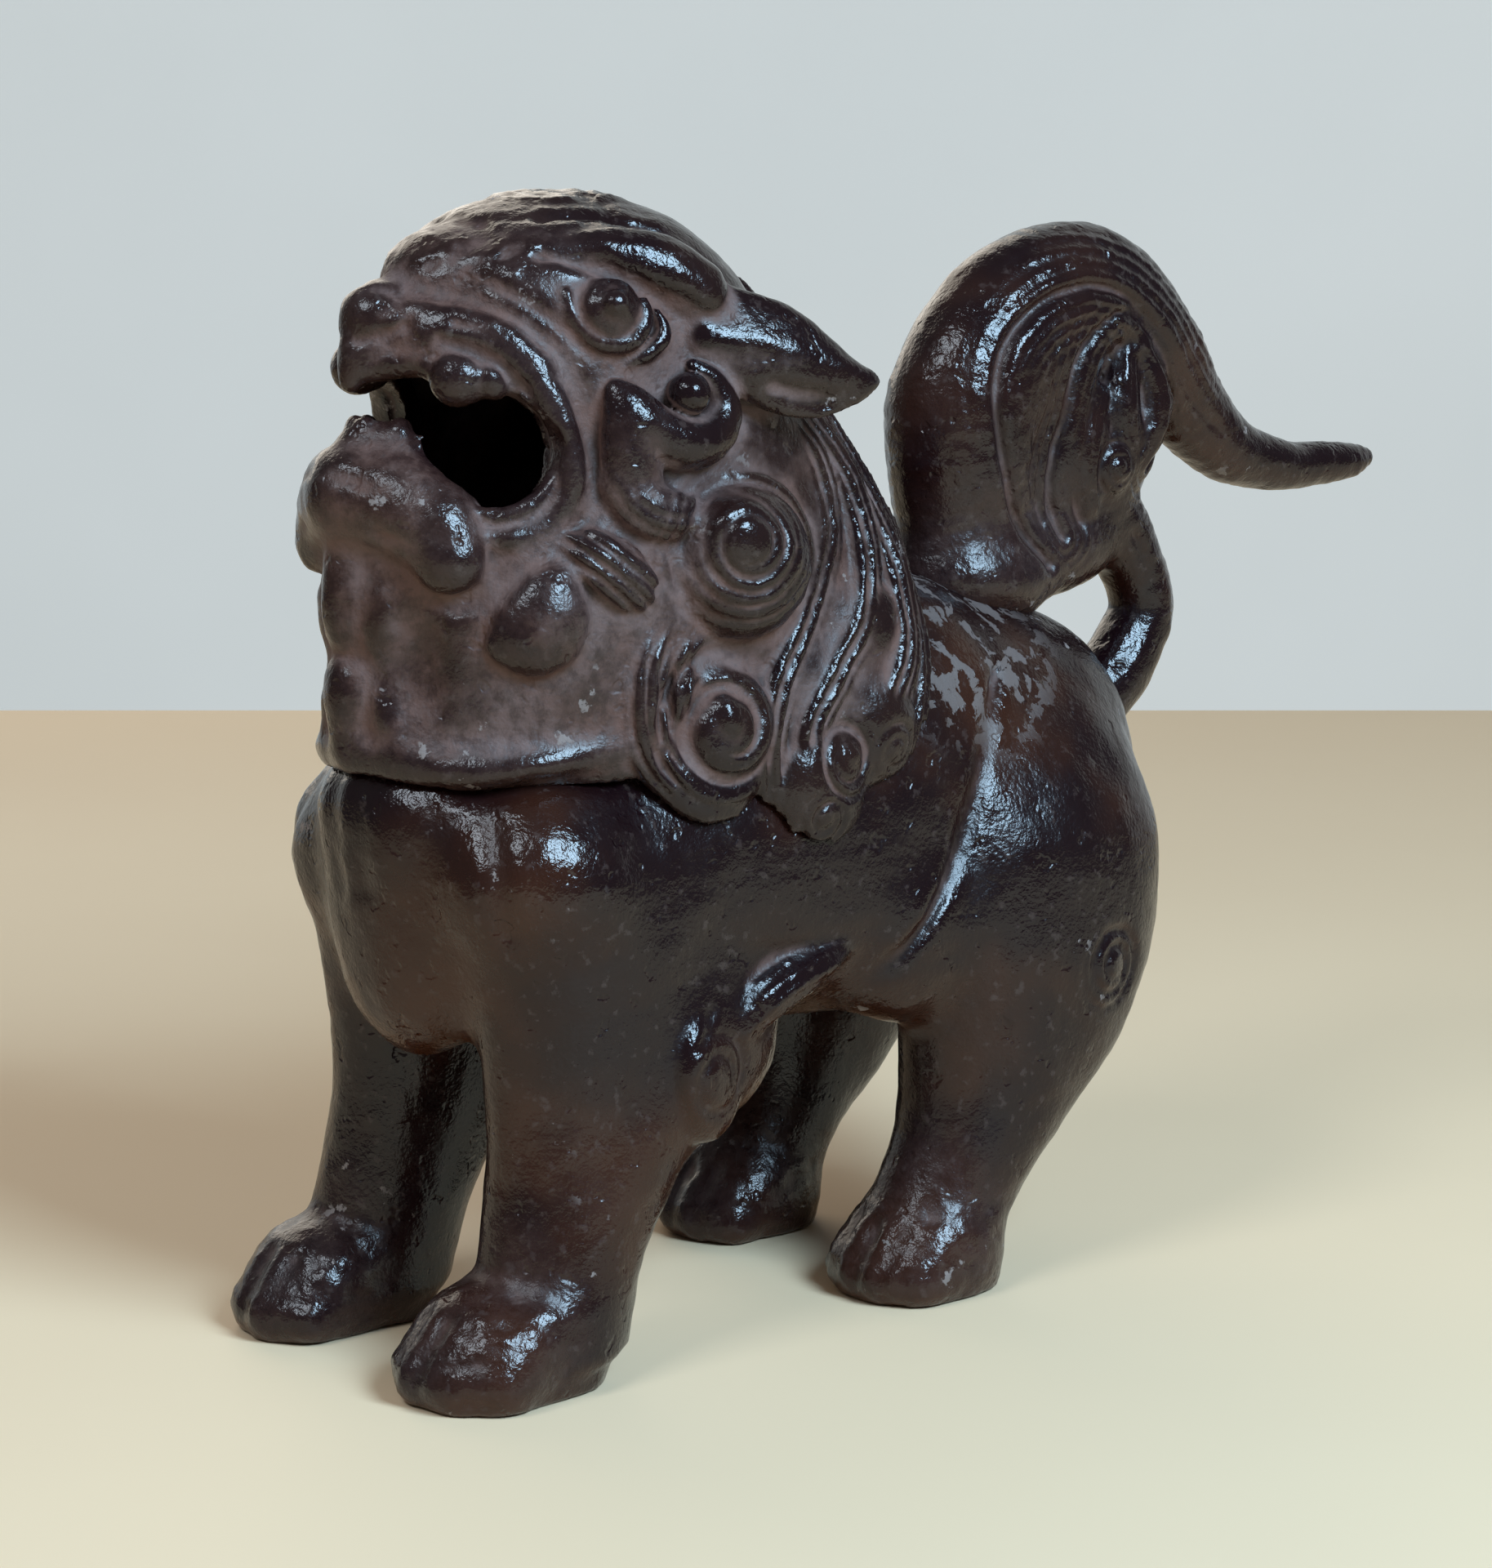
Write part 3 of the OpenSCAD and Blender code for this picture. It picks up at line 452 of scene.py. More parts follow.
def sculpt_head():
    clay = Clay((0, -59, 66), (38, 46, 168), 0.5)
    h, ball, roll, groove = clay.step, clay.ball, clay.roll, clay.groove
    clay.add(head_core(0, h), 0)
    # Space of the open mouth, before the lips are laid round it
    clay.cut(tube([(-60, -35, 131), (60, -35, 131)], (8.5, 8.5), fine=1), 0.6)

    def gape(x, y, z):
        return np.maximum(np.maximum(y + 34, -62 - y), np.abs(z - 133) - 8.5).astype(F32) + 0 * x

    clay.cut((np.array([-5.0, -62, 124]), np.array([38.0, -34, 142]), gape), 1.0)
    # Crown and forehead, with low scallops and furrows
    for c, r, k in (((0, -31.2, 153.6), (9.4, 8.4, 6.6), 2), ((0, -21.5, 157), (9.8, 8.4, 6.6), 1.6),
                    ((0, -12.2, 157.8), (10.5, 7.8, 6.2), 1.6), ((0, -4.4, 155.4), (11, 7.6, 5.4), 2),
                    ((9.6, -28.6, 153.6), (4.6, 4.6, 4), 2.0), ((12, -16.5, 156), (5.6, 6.4, 4.6), 1.5)):
        ball(c, r, k)
    for pts in ([(0, -27, 160.4), (5, -27.4, 159.6), (9, -25.4, 158)], [(0, -16.8, 163.2), (5, -15.6, 163)],
                [(8.4, -22, 160.4), (11.6, -22.6, 158.4), (14.4, -25, 155)]):
        groove(pts, 1.3, 0.7)
    rough = pitted(0.35, 0.3, (5.6, 2.8), 41, lambda v, p: v * clamp((p[:, 2] - 149) / 6) * clamp((-2 - p[:, 1]) / 8))
    clay.relief((0, -42, 148), (15, 0, 166), rough)
    # Muzzle, nose, the hooked tip of the upper lip and the edge of the lip
    roll([(0, -39.4, 146), (6.5, -36.6, 146.2), (12, -31.8, 145.4), (16.6, -27.4, 141.6)], (6, 5.4, 5, 4.2), 2.5)
    ball((0, -41.8, 148.6), (5.2, 5.6, 5), 2.5)
    ball((4.4, -40.2, 147.2), (3, 4.4, 3.4), 0.9)
    roll([(0, -43, 146), (0, -45.2, 142.6), (0, -46.6, 140)], (4.6, 3, 1.6), 1.2)
    roll([(0, -45.2, 141.8), (3.6, -42.8, 142.4), (7, -39.8, 143.4), (10.4, -36.6, 144.4)], (2.2, 2.3, 2.3, 2), 1)
    groove([(2.2, -47, 145.6), (4.4, -44.8, 146.2), (6.4, -42, 147.6)], 0.9, 0.8)
    groove([(2, -44, 152.4), (6, -40.8, 151.6), (9, -37.6, 151)], 1.2, 0.5)
    # Lower jaw: a thick roll from the chin to its rounded end, with a ragged lip on it
    roll([(0, -45.4, 124.2), (6, -42.6, 122.8), (11, -40.6, 120.2), (14.2, -40.2, 116.4)], (8, 7.6, 6.8, 5.6), 1)
    roll([(0, -45.2, 131.8), (2.6, -43, 131.4), (5.6, -39.8, 129.6), (8.6, -37, 127), (11.4, -37, 123.4)],
         (2.9, 2.9, 2.9, 2.6, 2), 2)
    for c, r in (((1.2, -45.4, 134), 1.3), ((4.2, -41.6, 133.2), 1.8), ((7.4, -38.8, 131.6), 2.2),
                 ((9.8, -37, 127.6), 1.5)):
        ball(c, (r, r, r), 0.9)
    groove([(2, -52, 114), (7, -48.6, 113), (11.6, -45.6, 111.4), (16, -41.6, 110.2), (19.4, -37.6, 112.4),
            (19.8, -36.4, 117)], 1.5, 1.5)
    for pts in ([(3, -52.6, 128), (6, -50, 126.8), (9, -47.4, 125)],
                [(9, -48.4, 120), (13, -45.6, 118.4), (16.4, -43, 115.4)]):
        groove(pts, 1.2, 0.4)
    # Fleshy gum, lip fold round the corner of the mouth and the thin rim inside it
    for c, r in (((12, -37, 140.6), (3.8, 4.4, 4)), ((14.8, -33.6, 140.4), (2.6, 3, 2.8)),
                 ((8.8, -39, 142.2), (2.4, 2.4, 2))):
        ball(c, r, 0.8)
    roll([(5.6, -40.6, 149.6), (10, -35.8, 148.2), (14, -31.8, 145.8), (17.8, -29, 141.4), (20.6, -27, 135.6),
          (21.6, -25.6, 129.6), (21.4, -26.4, 124.4), (20.2, -30, 120.4), (18.8, -34.2, 119), (16.8, -38, 119.6)],
         (1.4, 2.4, 2.8, 2.6, 2.4, 2.3, 2.3, 2.1, 1.9, 1.2), 0.8, fine=7)
    roll([(14.6, -39.6, 124), (17, -36.4, 122.2), (19.2, -32.2, 122.6), (20.4, -28.6, 125.6), (20.4, -26.8, 130.4),
          (19.8, -27.4, 135), (18, -31, 138.6)], (0.7, 1.2, 1.4, 1.3, 1.1, 1, 0.7), 0.4)
    groove([(9, -37.4, 152), (12.8, -33.6, 150.2), (17.4, -29.8, 147.4), (21, -26, 142.4), (23, -23.4, 135.6),
            (23.8, -22, 129), (23.4, -23.4, 122.6), (21.6, -28, 117.6)], 1.5, 1)
    groove([(11, -39.4, 145.8), (15.6, -34.8, 143.6), (18.6, -30.8, 139)], 1, 0.9)
    groove([(13, -32.6, 153.4), (17.6, -28.4, 150), (22, -23.2, 144.6), (24.6, -20.4, 138)], 0.9, 0.6)
    groove([(12, -38, 148), (15.6, -33.2, 146.2), (19, -29.6, 142)], 0.7, 0.5)
    # Eye with its lower lid, the pupil and the crease below it
    ball((20.9, -18.6, 149.5), (4.7, 4.8, 4.7), 0.4)
    groove([(24, -19.2, 154), (24.4, -22.4, 151.6), (25, -21.6, 148.6), (26, -18.4, 147.8), (25.9, -16.2, 149.8),
            (25.2, -16.4, 152)], 1, 1.1)
    ball((24, -19.6, 150.8), (2.1, 2, 1.9), 0.4)
    roll([(19.4, -24.4, 152), (20.4, -23.8, 148.4), (22, -21, 145.4), (23.4, -17.4, 145.2), (23.8, -14.6, 147.6),
          (23.2, -14, 151)], (0.7, 1.1, 1.5, 1.6, 1.4, 0.8), 0.5)
    roll([(23.4, -11.8, 149.2), (24.2, -11.4, 146.2), (24, -14, 143.6), (23.2, -17, 142.4)], (0.7, 1.2, 1.2, 0.6), 0.8)
    # Brow: a long drop that overhangs the eye
    roll([(14.6, -22.6, 157.6), (17.4, -15.4, 156.8), (19.6, -9, 154.6), (21.2, -4, 151.4)], (1.6, 3.8, 4.9, 4.9), 0.5)
    groove([(15, -25.4, 156.4), (19.4, -18.6, 154.4), (23, -12.4, 151.6), (25.2, -6.6, 149), (26.2, -1.4, 145.6)],
           1.3, 1.1)
    groove([(10, -21.6, 161.6), (13.4, -14, 161.2), (15.6, -6.6, 158.8), (16.4, 0, 154.8)], 1.2, 1.2)
    # Ear: a broad pointed leaf with a ridge and a hollow lower face
    roll([(22.4, -2, 146.4), (26, 5, 143), (28.2, 10.4, 140), (30.4, 16.4, 138.4), (31.6, 20.8, 138.6)],
         (6.6, 7.6, 6.6, 3.3, 0.7), 1.4, (0.85, -0.4, 0.3), 0.5, fine=7)
    roll([(24, -3.6, 145.4), (27.2, 4.6, 143.8), (29.6, 12.4, 141), (31.4, 19.4, 139)], (2.2, 2.6, 2, 0.8), 1.8)
    clay.cut(tube([(31, 3.6, 137.4), (32.8, 9, 135.8), (33.4, 14.6, 136.4)], (2.2, 3, 1.6)), 1.5)
    # Comma curl in front of the ear
    roll([(24.2, -19.4, 138.6), (24.8, -17.6, 135), (25, -18, 130.4), (25, -17.4, 125.6), (24.8, -16.4, 121.8)],
         (1.8, 4.2, 4.4, 4.3, 3), 0.9, (0.95, -0.3, 0), 0.8)
    ball((25, -16.2, 134), (3, 4, 3), 1)
    roll([(25.4, -16.4, 134.4), (26, -12.6, 132), (26.4, -8.6, 131.2), (26.4, -4.6, 132.2), (26, -2.4, 135.4),
          (25.6, -3.6, 139), (25.2, -7, 141.6)], (3.6, 4, 3.9, 3.4, 2.6, 1.9, 1), 0.8, (0.95, -0.2, 0.1), 0.95, fine=9)
    ball((26.8, -9, 138), (3.1, 3, 3), 0.3)
    roll([(25, -18.8, 126), (26, -16.6, 122.8), (26.8, -11.8, 121.4), (26.6, -7.9, 122.8)], (3.6, 4.3, 3.5, 1.2), 0.9,
         *LOCK, 2, 0.35)
    clay.cut(tube([(29.2, -13.4, 128), (29.6, -10.6, 126.8), (29.8, -6.6, 126.4)], (1.2, 1.6, 1.5)), 0.8)
    # Ribbed leaf and the low bulge of the jowl below it
    roll([(23.2, -27.6, 118.6), (25.4, -23.8, 116), (26.6, -20, 112.8), (27.2, -16.8, 109.6)], (1.2, 4.2, 4.3, 1), 0.6,
         (0.85, -0.5, 0), 0.75, 1.9, 0.8)
    roll([(23, -28, 114.6), (22.4, -30, 111), (21.6, -31.4, 107), (20.4, -34.6, 105.4)], (2, 5, 6.6, 4), 1,
         (0.86, -0.5, 0), 0.8)
    # Big snail curl with its rim
    out = (0.95, -0.3, 0)
    ball((25, -0.6, 113.6), (10, 11.8, 11.6), 0.6, upright(out))
    ball((30, -3.6, 117.4), (5, 6.4, 6.4), 1.2, upright(out))
    turn = [(math.cos(a), math.sin(a)) for a in np.radians([100, 70, 40, 5, -30, -65, -100, -130])]
    roll([(26.2 - 0.3 * c, -0.2 + 12.8 * c, 113.6 + 12.2 * s) for c, s in turn],
         (0.7, 1.1, 1.3, 1.4, 1.4, 1.3, 1.2, 0.9), 0.5)
    rings(clay, (34, -3.8, 117.6), out, 2.6, 13.4, 2.1, 0.5, 10, 1, 0.1)
    # Lower curl and the ribbed locks that run into it
    ball((25.6, -5.2, 90), (6.6, 10.4, 10.6), 0.7, upright(out))
    ball((26.4, -5.4, 84), (4.8, 8.6, 7.6), 1.5)
    roll([(26, -13.4, 106), (25.6, -16, 101.4), (25.4, -16.6, 95.6), (25.6, -15.8, 90), (26.6, -12.8, 85.2),
          (27.6, -8, 81.6), (28.2, -3, 80)], (2, 3.5, 4, 4, 3.6, 3, 2.2), 0.6, *LOCK, 1.9, 0.8)
    roll([(27, -7.4, 105), (27.6, -10.6, 101), (28, -11.4, 96), (28.2, -10.4, 91)], (1.2, 2.3, 2.5, 1.4), 0.6,
         *LOCK, 1.8, 0.7)
    rings(clay, (32.4, -5.4, 91.6), out, 3.4, 12.4, 5.4, 1.9, 8, 1, 0.2)
    rings(clay, (32.4, -5.4, 91.6), out, 4.4, 13, 1.5, 0.32, 8, 1, 0.2)
    ball((29, -5.2, 92.4), (3.8, 3.2, 4.2), 0.4, ((1, 0, 0), (0, 1, 0.25), (0, -0.25, 1)))
    # Ribbed bands from the ear down to the shoulder, over the mass of the mane
    for c, r in (((27.6, 12.8, 80.4), (5, 8.8, 9.8)), ((26, 24.6, 87.6), (5, 8, 9.6)), ((24.6, 14, 94), (5, 12, 9)),
                 ((23.6, 24, 101), (5, 9, 9))):
        ball(c, r, 2.5)
    for pts, rad in (([(19.4, 11, 136), (20.6, 17, 127), (22, 18.4, 118), (23.6, 16, 110.6), (25.4, 11.6, 103),
                       (27, 6.6, 96), (27.6, 4.2, 88.6), (27.8, 4.8, 80.6)], (3.4, 4.2, 4.6, 4.5, 4.2, 3.9, 3.8, 3)),
                     ([(17.6, 17.4, 134), (19.8, 23.4, 123.4), (22.4, 25, 112.4), (25, 22.2, 103), (27, 15.8, 95.4),
                       (28, 11.2, 88.4), (28.2, 11.8, 79), (28.2, 14.4, 74)], (3.4, 4.6, 5, 4.8, 4.4, 3.8, 3.6, 2.4)),
                     ([(14.6, 22.2, 132), (18.4, 28.8, 118), (22, 31.2, 107.6), (25, 30.2, 98), (27, 26, 90.6),
                       (27.8, 22.6, 84)], (3.6, 5, 5.4, 5.2, 4.4, 3.2)),
                     ([(11, 25, 134), (15, 32, 119), (18.6, 35, 107), (21.6, 35.4, 98), (24, 33.6, 90), (25.6, 31, 83)],
                      (3.4, 4.6, 5, 5, 4.6, 3.6))):
        roll(pts, rad, 0.5, (0.9, 0.45, 0), 0.75, 2.1, 1)
    for x0, x1 in ((10.5, 17), (5.6, 10.4), (0, 4)):
        pts = [on_core(x0 + (x1 - x0) * t, z) for t, z in ((0, 151), (0.2, 141), (0.45, 128), (0.7, 116), (1, 100))]
        roll(pts, (2.2, 3.6, 4.4, 4.8, 4.6), 0.7, (0.3, 1, 0), 0.8, 2, 0.75)
    # Small curls along the lower edge
    ball((29, 16.6, 84.8), (3, 3, 3), 0.4)
    rings(clay, (31.6, 16.6, 84.8), (1, 0, 0), 2.6, 6.5, 2.4, 0.9, 6, 1, 0.1)
    rings(clay, (31, 27, 85), (0.8, 0.6, 0), 0.8, 5.5, 2.1, 0.6, 6, 1)
    rings(clay, (31.6, 12, 76.4), (1, 0, 0), 0.8, 5, 2.1, 0.6, 6, -1)
    # Wavy beard under the chin, the hollow beside it and the soft roll along the breast
    roll([(0, -45.8, 117), (0, -46.8, 108), (0, -45.4, 102.5), (0, -46.6, 97), (0, -45.8, 90)],
         (4.6, 4.8, 3.8, 4.8, 4), 1.4)
    roll([(5, -45, 115), (5.6, -45.6, 107), (5, -44.4, 101), (6.2, -45, 95), (7.4, -44.4, 91)],
         (2.8, 3, 2.2, 2.8, 2.4), 1.6)
    clay.cut(ellipsoid((12.4, -45.6, 102), (4, 3.2, 8), upright((0.8, 0.6, 0))), 3)
    for x, z0, z1 in ((2.4, 114, 104), (3.4, 101, 93), (7.6, 112, 104)):
        groove([(x, -52, z0), (x + 0.8, -51.4, (z0 + z1) / 2), (x - 0.2, -51.8, z1)], 0.9, 0.7)
    roll([(0, -46.4, 88.6), (9, -44.2, 87.6), (16.4, -39.8, 87.2), (22, -32.2, 88), (24.2, -23, 89), (24.8, -17, 90)],
         (2.8, 2.4, 2, 1.6, 1.2, 0.9), 3.5)
    # Underside, hollow and the locating ring
    clay.cut(torso(SEAM, h), 0.2)
    clay.cut(grown(SHOULDER, SEAM), 0.2)
    clay.cut(without(head_core(-WALL, h), torso(SEAM + WALL, h)), 0.4)
    clay.cut(tube([(-60, -34, 131), (60, -34, 131)], (6.6, 6.6), fine=1), 0.4)
    clay.cut(bore(60, 109, RING_R0), 0.2)
    clay.add(without(bore(RING_Z0, RING_Z1, RING_R1), bore(RING_Z0 - 4, RING_Z1 + 4, RING_R0)), 0.3)
    return clay


BRUSH = [[0, -.51, -.14, .56, .60], [.12, -.55, .17, .68, .86], [.24, -.53, .45, .78, .95], [.36, -.36, .67, .80, .95],
         [.48, -.12, .745, .70, .88], [.60, .10, .59, .56, .74], [.70, .27, .38, .42, .56], [.80, .46, .214, .31, .42],
         [.89, .69, .155, .235, .32], [.96, .91, .15, .18, .26], [1, .985, .155, .11, .17]]
STEM = [[0, -.18, -.63, 1.15], [.2, -.06, -.551, 1.15], [.4, .056, -.408, 1.08], [.6, .114, -.245, 1.02],
        [.8, .017, -.0245, 1.12], [1, -.128, .143, 1.6]]


def swept(table, wide, thick, n, step):
    """Flat-sided roll along a curve in the middle plane, with its own width and thickness at each place."""
    r = rows_at(table, np.linspace(0, 1, n))
    cy, cz = 98.5 + 59 * r[:, 1], BACK + 49 * r[:, 2]
    w, th = wide * r[:, 3], thick * r[:, -1]
    lo = np.array([-thick, (cy - w).min(), (cz - w).min()])
    hi = np.array([thick * 1.6, (cy + w).max(), (cz + w).max()])

    def f(x, y, z):
        Y, Z = y[0, :, :], z[0, :, :]
        best = np.full((Y.shape[0], Z.shape[1]), 1e3)
        dist, ww, tt = best.copy(), best.copy(), best.copy()
        for i in range(n - 1):
            ay, az, by, bz = cy[i], cz[i], cy[i + 1] - cy[i], cz[i + 1] - cz[i]
            u = clamp(((Y - ay) * by + (Z - az) * bz) / (by * by + bz * bz))
            e = np.sqrt((Y - ay - u * by) ** 2 + (Z - az - u * bz) ** 2)
            wi, ti = w[i] + u * (w[i + 1] - w[i]), th[i] + u * (th[i + 1] - th[i])
            ratio = e / np.maximum(wi, 0.3)
            near = ratio < best
            best = np.where(near, ratio, best)
            dist, ww, tt = np.where(near, e, dist), np.where(near, wi, ww), np.where(near, ti, tt)
        dist, ww, tt = (v[None].astype(F32) for v in (dist, np.maximum(ww, 0.3), np.maximum(tt, 0.3)))
        q = np.sqrt((dist / ww) ** 2 + (x / tt) ** 2) + 1e-6
        return oval(q, np.sqrt(dist ** 2 + x ** 2), np.minimum(ww, tt)).astype(F32)

    return lo, hi, steady(f, step)


def flank(points):
    """Distance in the middle plane to a smooth line, the same at every x."""
    p, _ = spline([(0, a, b) for a, b in points], [0] * len(points), 8)

    def f(x, y, z):
        Y, Z = y[0, :, :], z[0, :, :]
        best = np.full((Y.shape[0], Z.shape[1]), 1e3)
        for a, b in zip(p[:-1], p[1:]):
            ab = b - a
            u = clamp(((Y - a[1]) * ab[1] + (Z - a[2]) * ab[2]) / (ab @ ab))
            best = np.minimum(best, np.sqrt((Y - a[1] - u * ab[1]) ** 2 + (Z - a[2] - u * ab[2]) ** 2))
        return best[None] + 0 * x

    return f


def sculpt_tail():
    clay = Clay((0, 40, 66), (19, 160, 162), 0.45)
    h, ball, roll, groove = clay.step, clay.ball, clay.roll, clay.groove
    clay.add(swept(BRUSH, 17, 12, 60, h), 0)
    clay.add(swept(STEM, 5.25, 5.25, 30, h), 3)
    ball((0, 93.5, 123), (9.6, 11.4, 11), 2.5)
    ball((0, 80, 124), (9.6, 12, 20), 4)
    # Foot of the brush spreading on the back
    ball((0, 68, 104), (11.5, 15, 7), 6)
    ball((0, 80, 108), (8, 13, 7.6), 4)
    ball((0, 86, 107.4), (7.4, 10, 6.6), 4)
    outer = flank([(76.3, 105.7), (72.7, 109.3), (68.6, 114.7), (65.9, 120.8), (64.5, 125.9), (63.6, 130.9),
                   (64.3, 135.9), (66, 139.9), (69.9, 143.9), (74.4, 146.6), (80.1, 148.1), (84.8, 148.3),
                   (90.7, 146.7), (96.8, 142.8), (101.7, 138.3), (106.1, 132.9), (110.5, 128.3), (117, 123.6)])
    inner = flank([(79.7, 109.7), (77.9, 113.2), (76.6, 118.4), (77.1, 123.4), (78.8, 128.4), (79.8, 133.4),
                   (81.5, 138.4), (86.1, 142.4), (90.8, 144.3), (95.6, 142), (99.9, 137.5), (103, 133), (104.4, 128.7),
                   (102.7, 123.6), (99, 119.4)])
    middle = flank([(84, 112), (82.4, 117), (83, 124), (84.6, 131), (88.6, 137), (92.6, 138.6), (96, 135), (97, 129),
                    (95.6, 123)])

    def strands(v, pitch, wide):
        wave = 0.5 - 0.5 * np.cos(math.tau * v / pitch)
        return wave * clamp((v - 1) / 1.5) * clamp((wide - v) / 3)

    def locks(x, y, z):
        on = clamp((x - 2.5) / 4)
        a, b, c = outer(x, y, z), inner(x, y, z), middle(x, y, z)
        right = np.clip((106 - y) / 12, 0.35, 1)
        g = 1.3 * right * np.exp(-(a / (0.6 + 0.4 * right)) ** 2)
        g = g + np.exp(-(b / 0.9) ** 2) + 0.4 * np.exp(-(c / 1.1) ** 2)
        top = clamp((z - 128) / 10) * clamp((y - 66) / 12)
        g = g + 0.34 * strands(a, 1.9, 10) * (0.25 + 0.75 * top)
        return on * (g + 0.3 * strands(b, 1.8, 8) * (a > b))

    clay.relief((0, 50, 100), (19, 125, 160), locks)
    # Soft leaves and the small swirl inside the brush
    for pts, rad in (([(86.6, 140.4), (84, 136), (81.6, 129), (80.4, 121)], (1.6, 3, 3, 1.8)),
                     ([(87, 131), (85, 126), (84, 120), (85.4, 114.6)], (2, 3.2, 3.2, 1.8)),
                     ([(96.6, 138), (99.4, 132.6), (99.6, 127), (97, 121.6)], (1.6, 3, 3, 1.8)),
                     ([(93.6, 137), (92.6, 132), (92.4, 127), (93.4, 124)], (1.8, 3.2, 3, 1.8))):
        roll([(7.8, a, b) for a, b in pts], rad, 2.2, (1, 0, 0), 0.8, 1.9, 0.3)
    ball((8, 90.1, 120.2), (3, 4, 4.4), 1.8)
    rings(clay, (11, 90.1, 120.2), (1, 0, 0), 0.6, 5.2, 2.1, 0.55, 5, 1)
    # Lock line along the stem
    groove([(4.6, 96, 110.5), (5.6, 99.4, 106), (5.8, 101.6, 100), (5.6, 100.6, 94), (5.2, 96, 88)], 1, 0.7)
    clay.cut(torso(-0.4, h), 0.15)

    # Lug of the stem with the hole for its pin
    def lug(x, y, z):
        return np.maximum(np.sqrt(x * x + (z - 78.2) ** 2) - 3.5, np.maximum(77.4 - y, y - 96.5)).astype(F32)

    clay.add((np.array([-3.5, 77.0, 74]), np.array([3.5, 97.0, 82]), lug), 0.2)
    clay.cut(tube([(-9, 81.4, 78.2), (9, 81.4, 78.2)], (1.1, 1.1), fine=1), 0.1)
    return clay


# From clay to mesh

def box_blur(v, n):
    for axis in range(3):
        v = np.moveaxis(v, axis, 0)
        c = np.cumsum(np.pad(v, ((n + 1, n), (0, 0), (0, 0)), "edge"), axis=0, dtype=np.float64)
        v = ((c[2 * n + 1:] - c[:-2 * n - 1]) / (2 * n + 1)).astype(F32)
        v = np.moveaxis(v, 0, axis)
    return v


def surface(d):
    """Surface-net vertices (in cells) and quads of a distance grid."""
    s = d < 0
    corners = list(np.ndindex(2, 2, 2))
    n = [m - 1 for m in d.shape]
    count = sum(s[i:i + n[0], j:j + n[1], k:k + n[2]].astype(np.int8) for i, j, k in corners)
    live = np.argwhere((count > 0) & (count < 8))
    index = np.full(n, -1, np.int32)
    index[tuple(live.T)] = np.arange(len(live))
    total, hits = np.zeros((len(live), 3)), np.zeros(len(live))
    for a in corners:
        for axis in range(3):
            if a[axis]:
                continue
            b = list(a)
            b[axis] = 1
            da, db = d[tuple((live + a).T)], d[tuple((live + b).T)]
            on = (da < 0) != (db < 0)
            t = da[on] / (da[on] - db[on])
            p = np.tile(np.array(a, float), (on.sum(), 1))
            p[:, axis] += t
            total[on] += p
            hits[on] += 1
    verts = live + total / hits[:, None]
    quads = []
    for axis in range(3):
        u, v = (axis + 1) % 3, (axis + 2) % 3
        a = np.moveaxis(s, axis, 0)
        edge = np.argwhere(np.moveaxis(a[:-1] != a[1:], 0, axis))
        edge = edge[(edge[:, u] > 0) & (edge[:, v] > 0) & (edge[:, u] < n[u]) & (edge[:, v] < n[v])]
        du, dv = np.eye(3, dtype=int)[u], np.eye(3, dtype=int)[v]
        q = np.stack([index[tuple(e.T)] for e in (edge - du - dv, edge - dv, edge, edge - du)], 1)
        flip = ~s[tuple(edge.T)]
        q[flip] = q[flip][:, ::-1]
        quads.append(q)
    return verts, np.concatenate(quads)


def wave_noise(p, scale, seed, terms=24):
    """Smooth noise from plane waves, near -1 to 1."""
    rng = np.random.default_rng(seed)
    total = np.zeros(len(p))
    for _ in range(terms):
        k = unit(rng.normal(size=3)) * rng.uniform(0.6, 1.5) * math.tau / scale
        total += np.sin(p @ k + rng.uniform(0, math.tau))
    return total / math.sqrt(terms / 2) / 1.6


def sample(grid, lo, step, p):
    """Value of the grid at each point, linear between its cells."""
    q = np.clip((p - lo) / step, 0, np.array(grid.shape) - 1.001)
    i = q.astype(int)
    f = q - i
    total = np.zeros(len(p))
    for corner in np.ndindex(2, 2, 2):
        weight = np.abs(1 - np.array(corner) - f).prod(1)
        total += weight * grid[tuple((i + corner).T)]
    return total


def one_piece(verts, quads):
    """Drops the small closed bubbles that the cuts leave inside the metal."""
    tag = np.arange(len(verts))
    while True:
        low = tag.copy()
        np.minimum.at(low, quads.ravel(), np.repeat(tag[quads].min(1), 4))
        low = low[low]
        if (low == tag).all():
            break
        tag = low
    of_quad = tag[quads[:, 0]]
    quads = quads[of_quad == np.bincount(of_quad).argmax()]
    used, order = np.unique(quads, return_inverse=True)
    return verts[used], order.reshape(-1, 4)


# How far the near and the far hollow look, in millimetres, with the least of it in cells
HOLLOWS = ("near", 1.2, 1), ("far", 3.5, 2)
# Height and length of the waves that roughen a casting
CAST_WAVES = (0.15, 13), (0.06, 4.5), (0.03, 2.6)


def placed(name, data):
    obj = bpy.data.objects.new(name, data)
    bpy.context.scene.collection.objects.link(obj)
    return obj


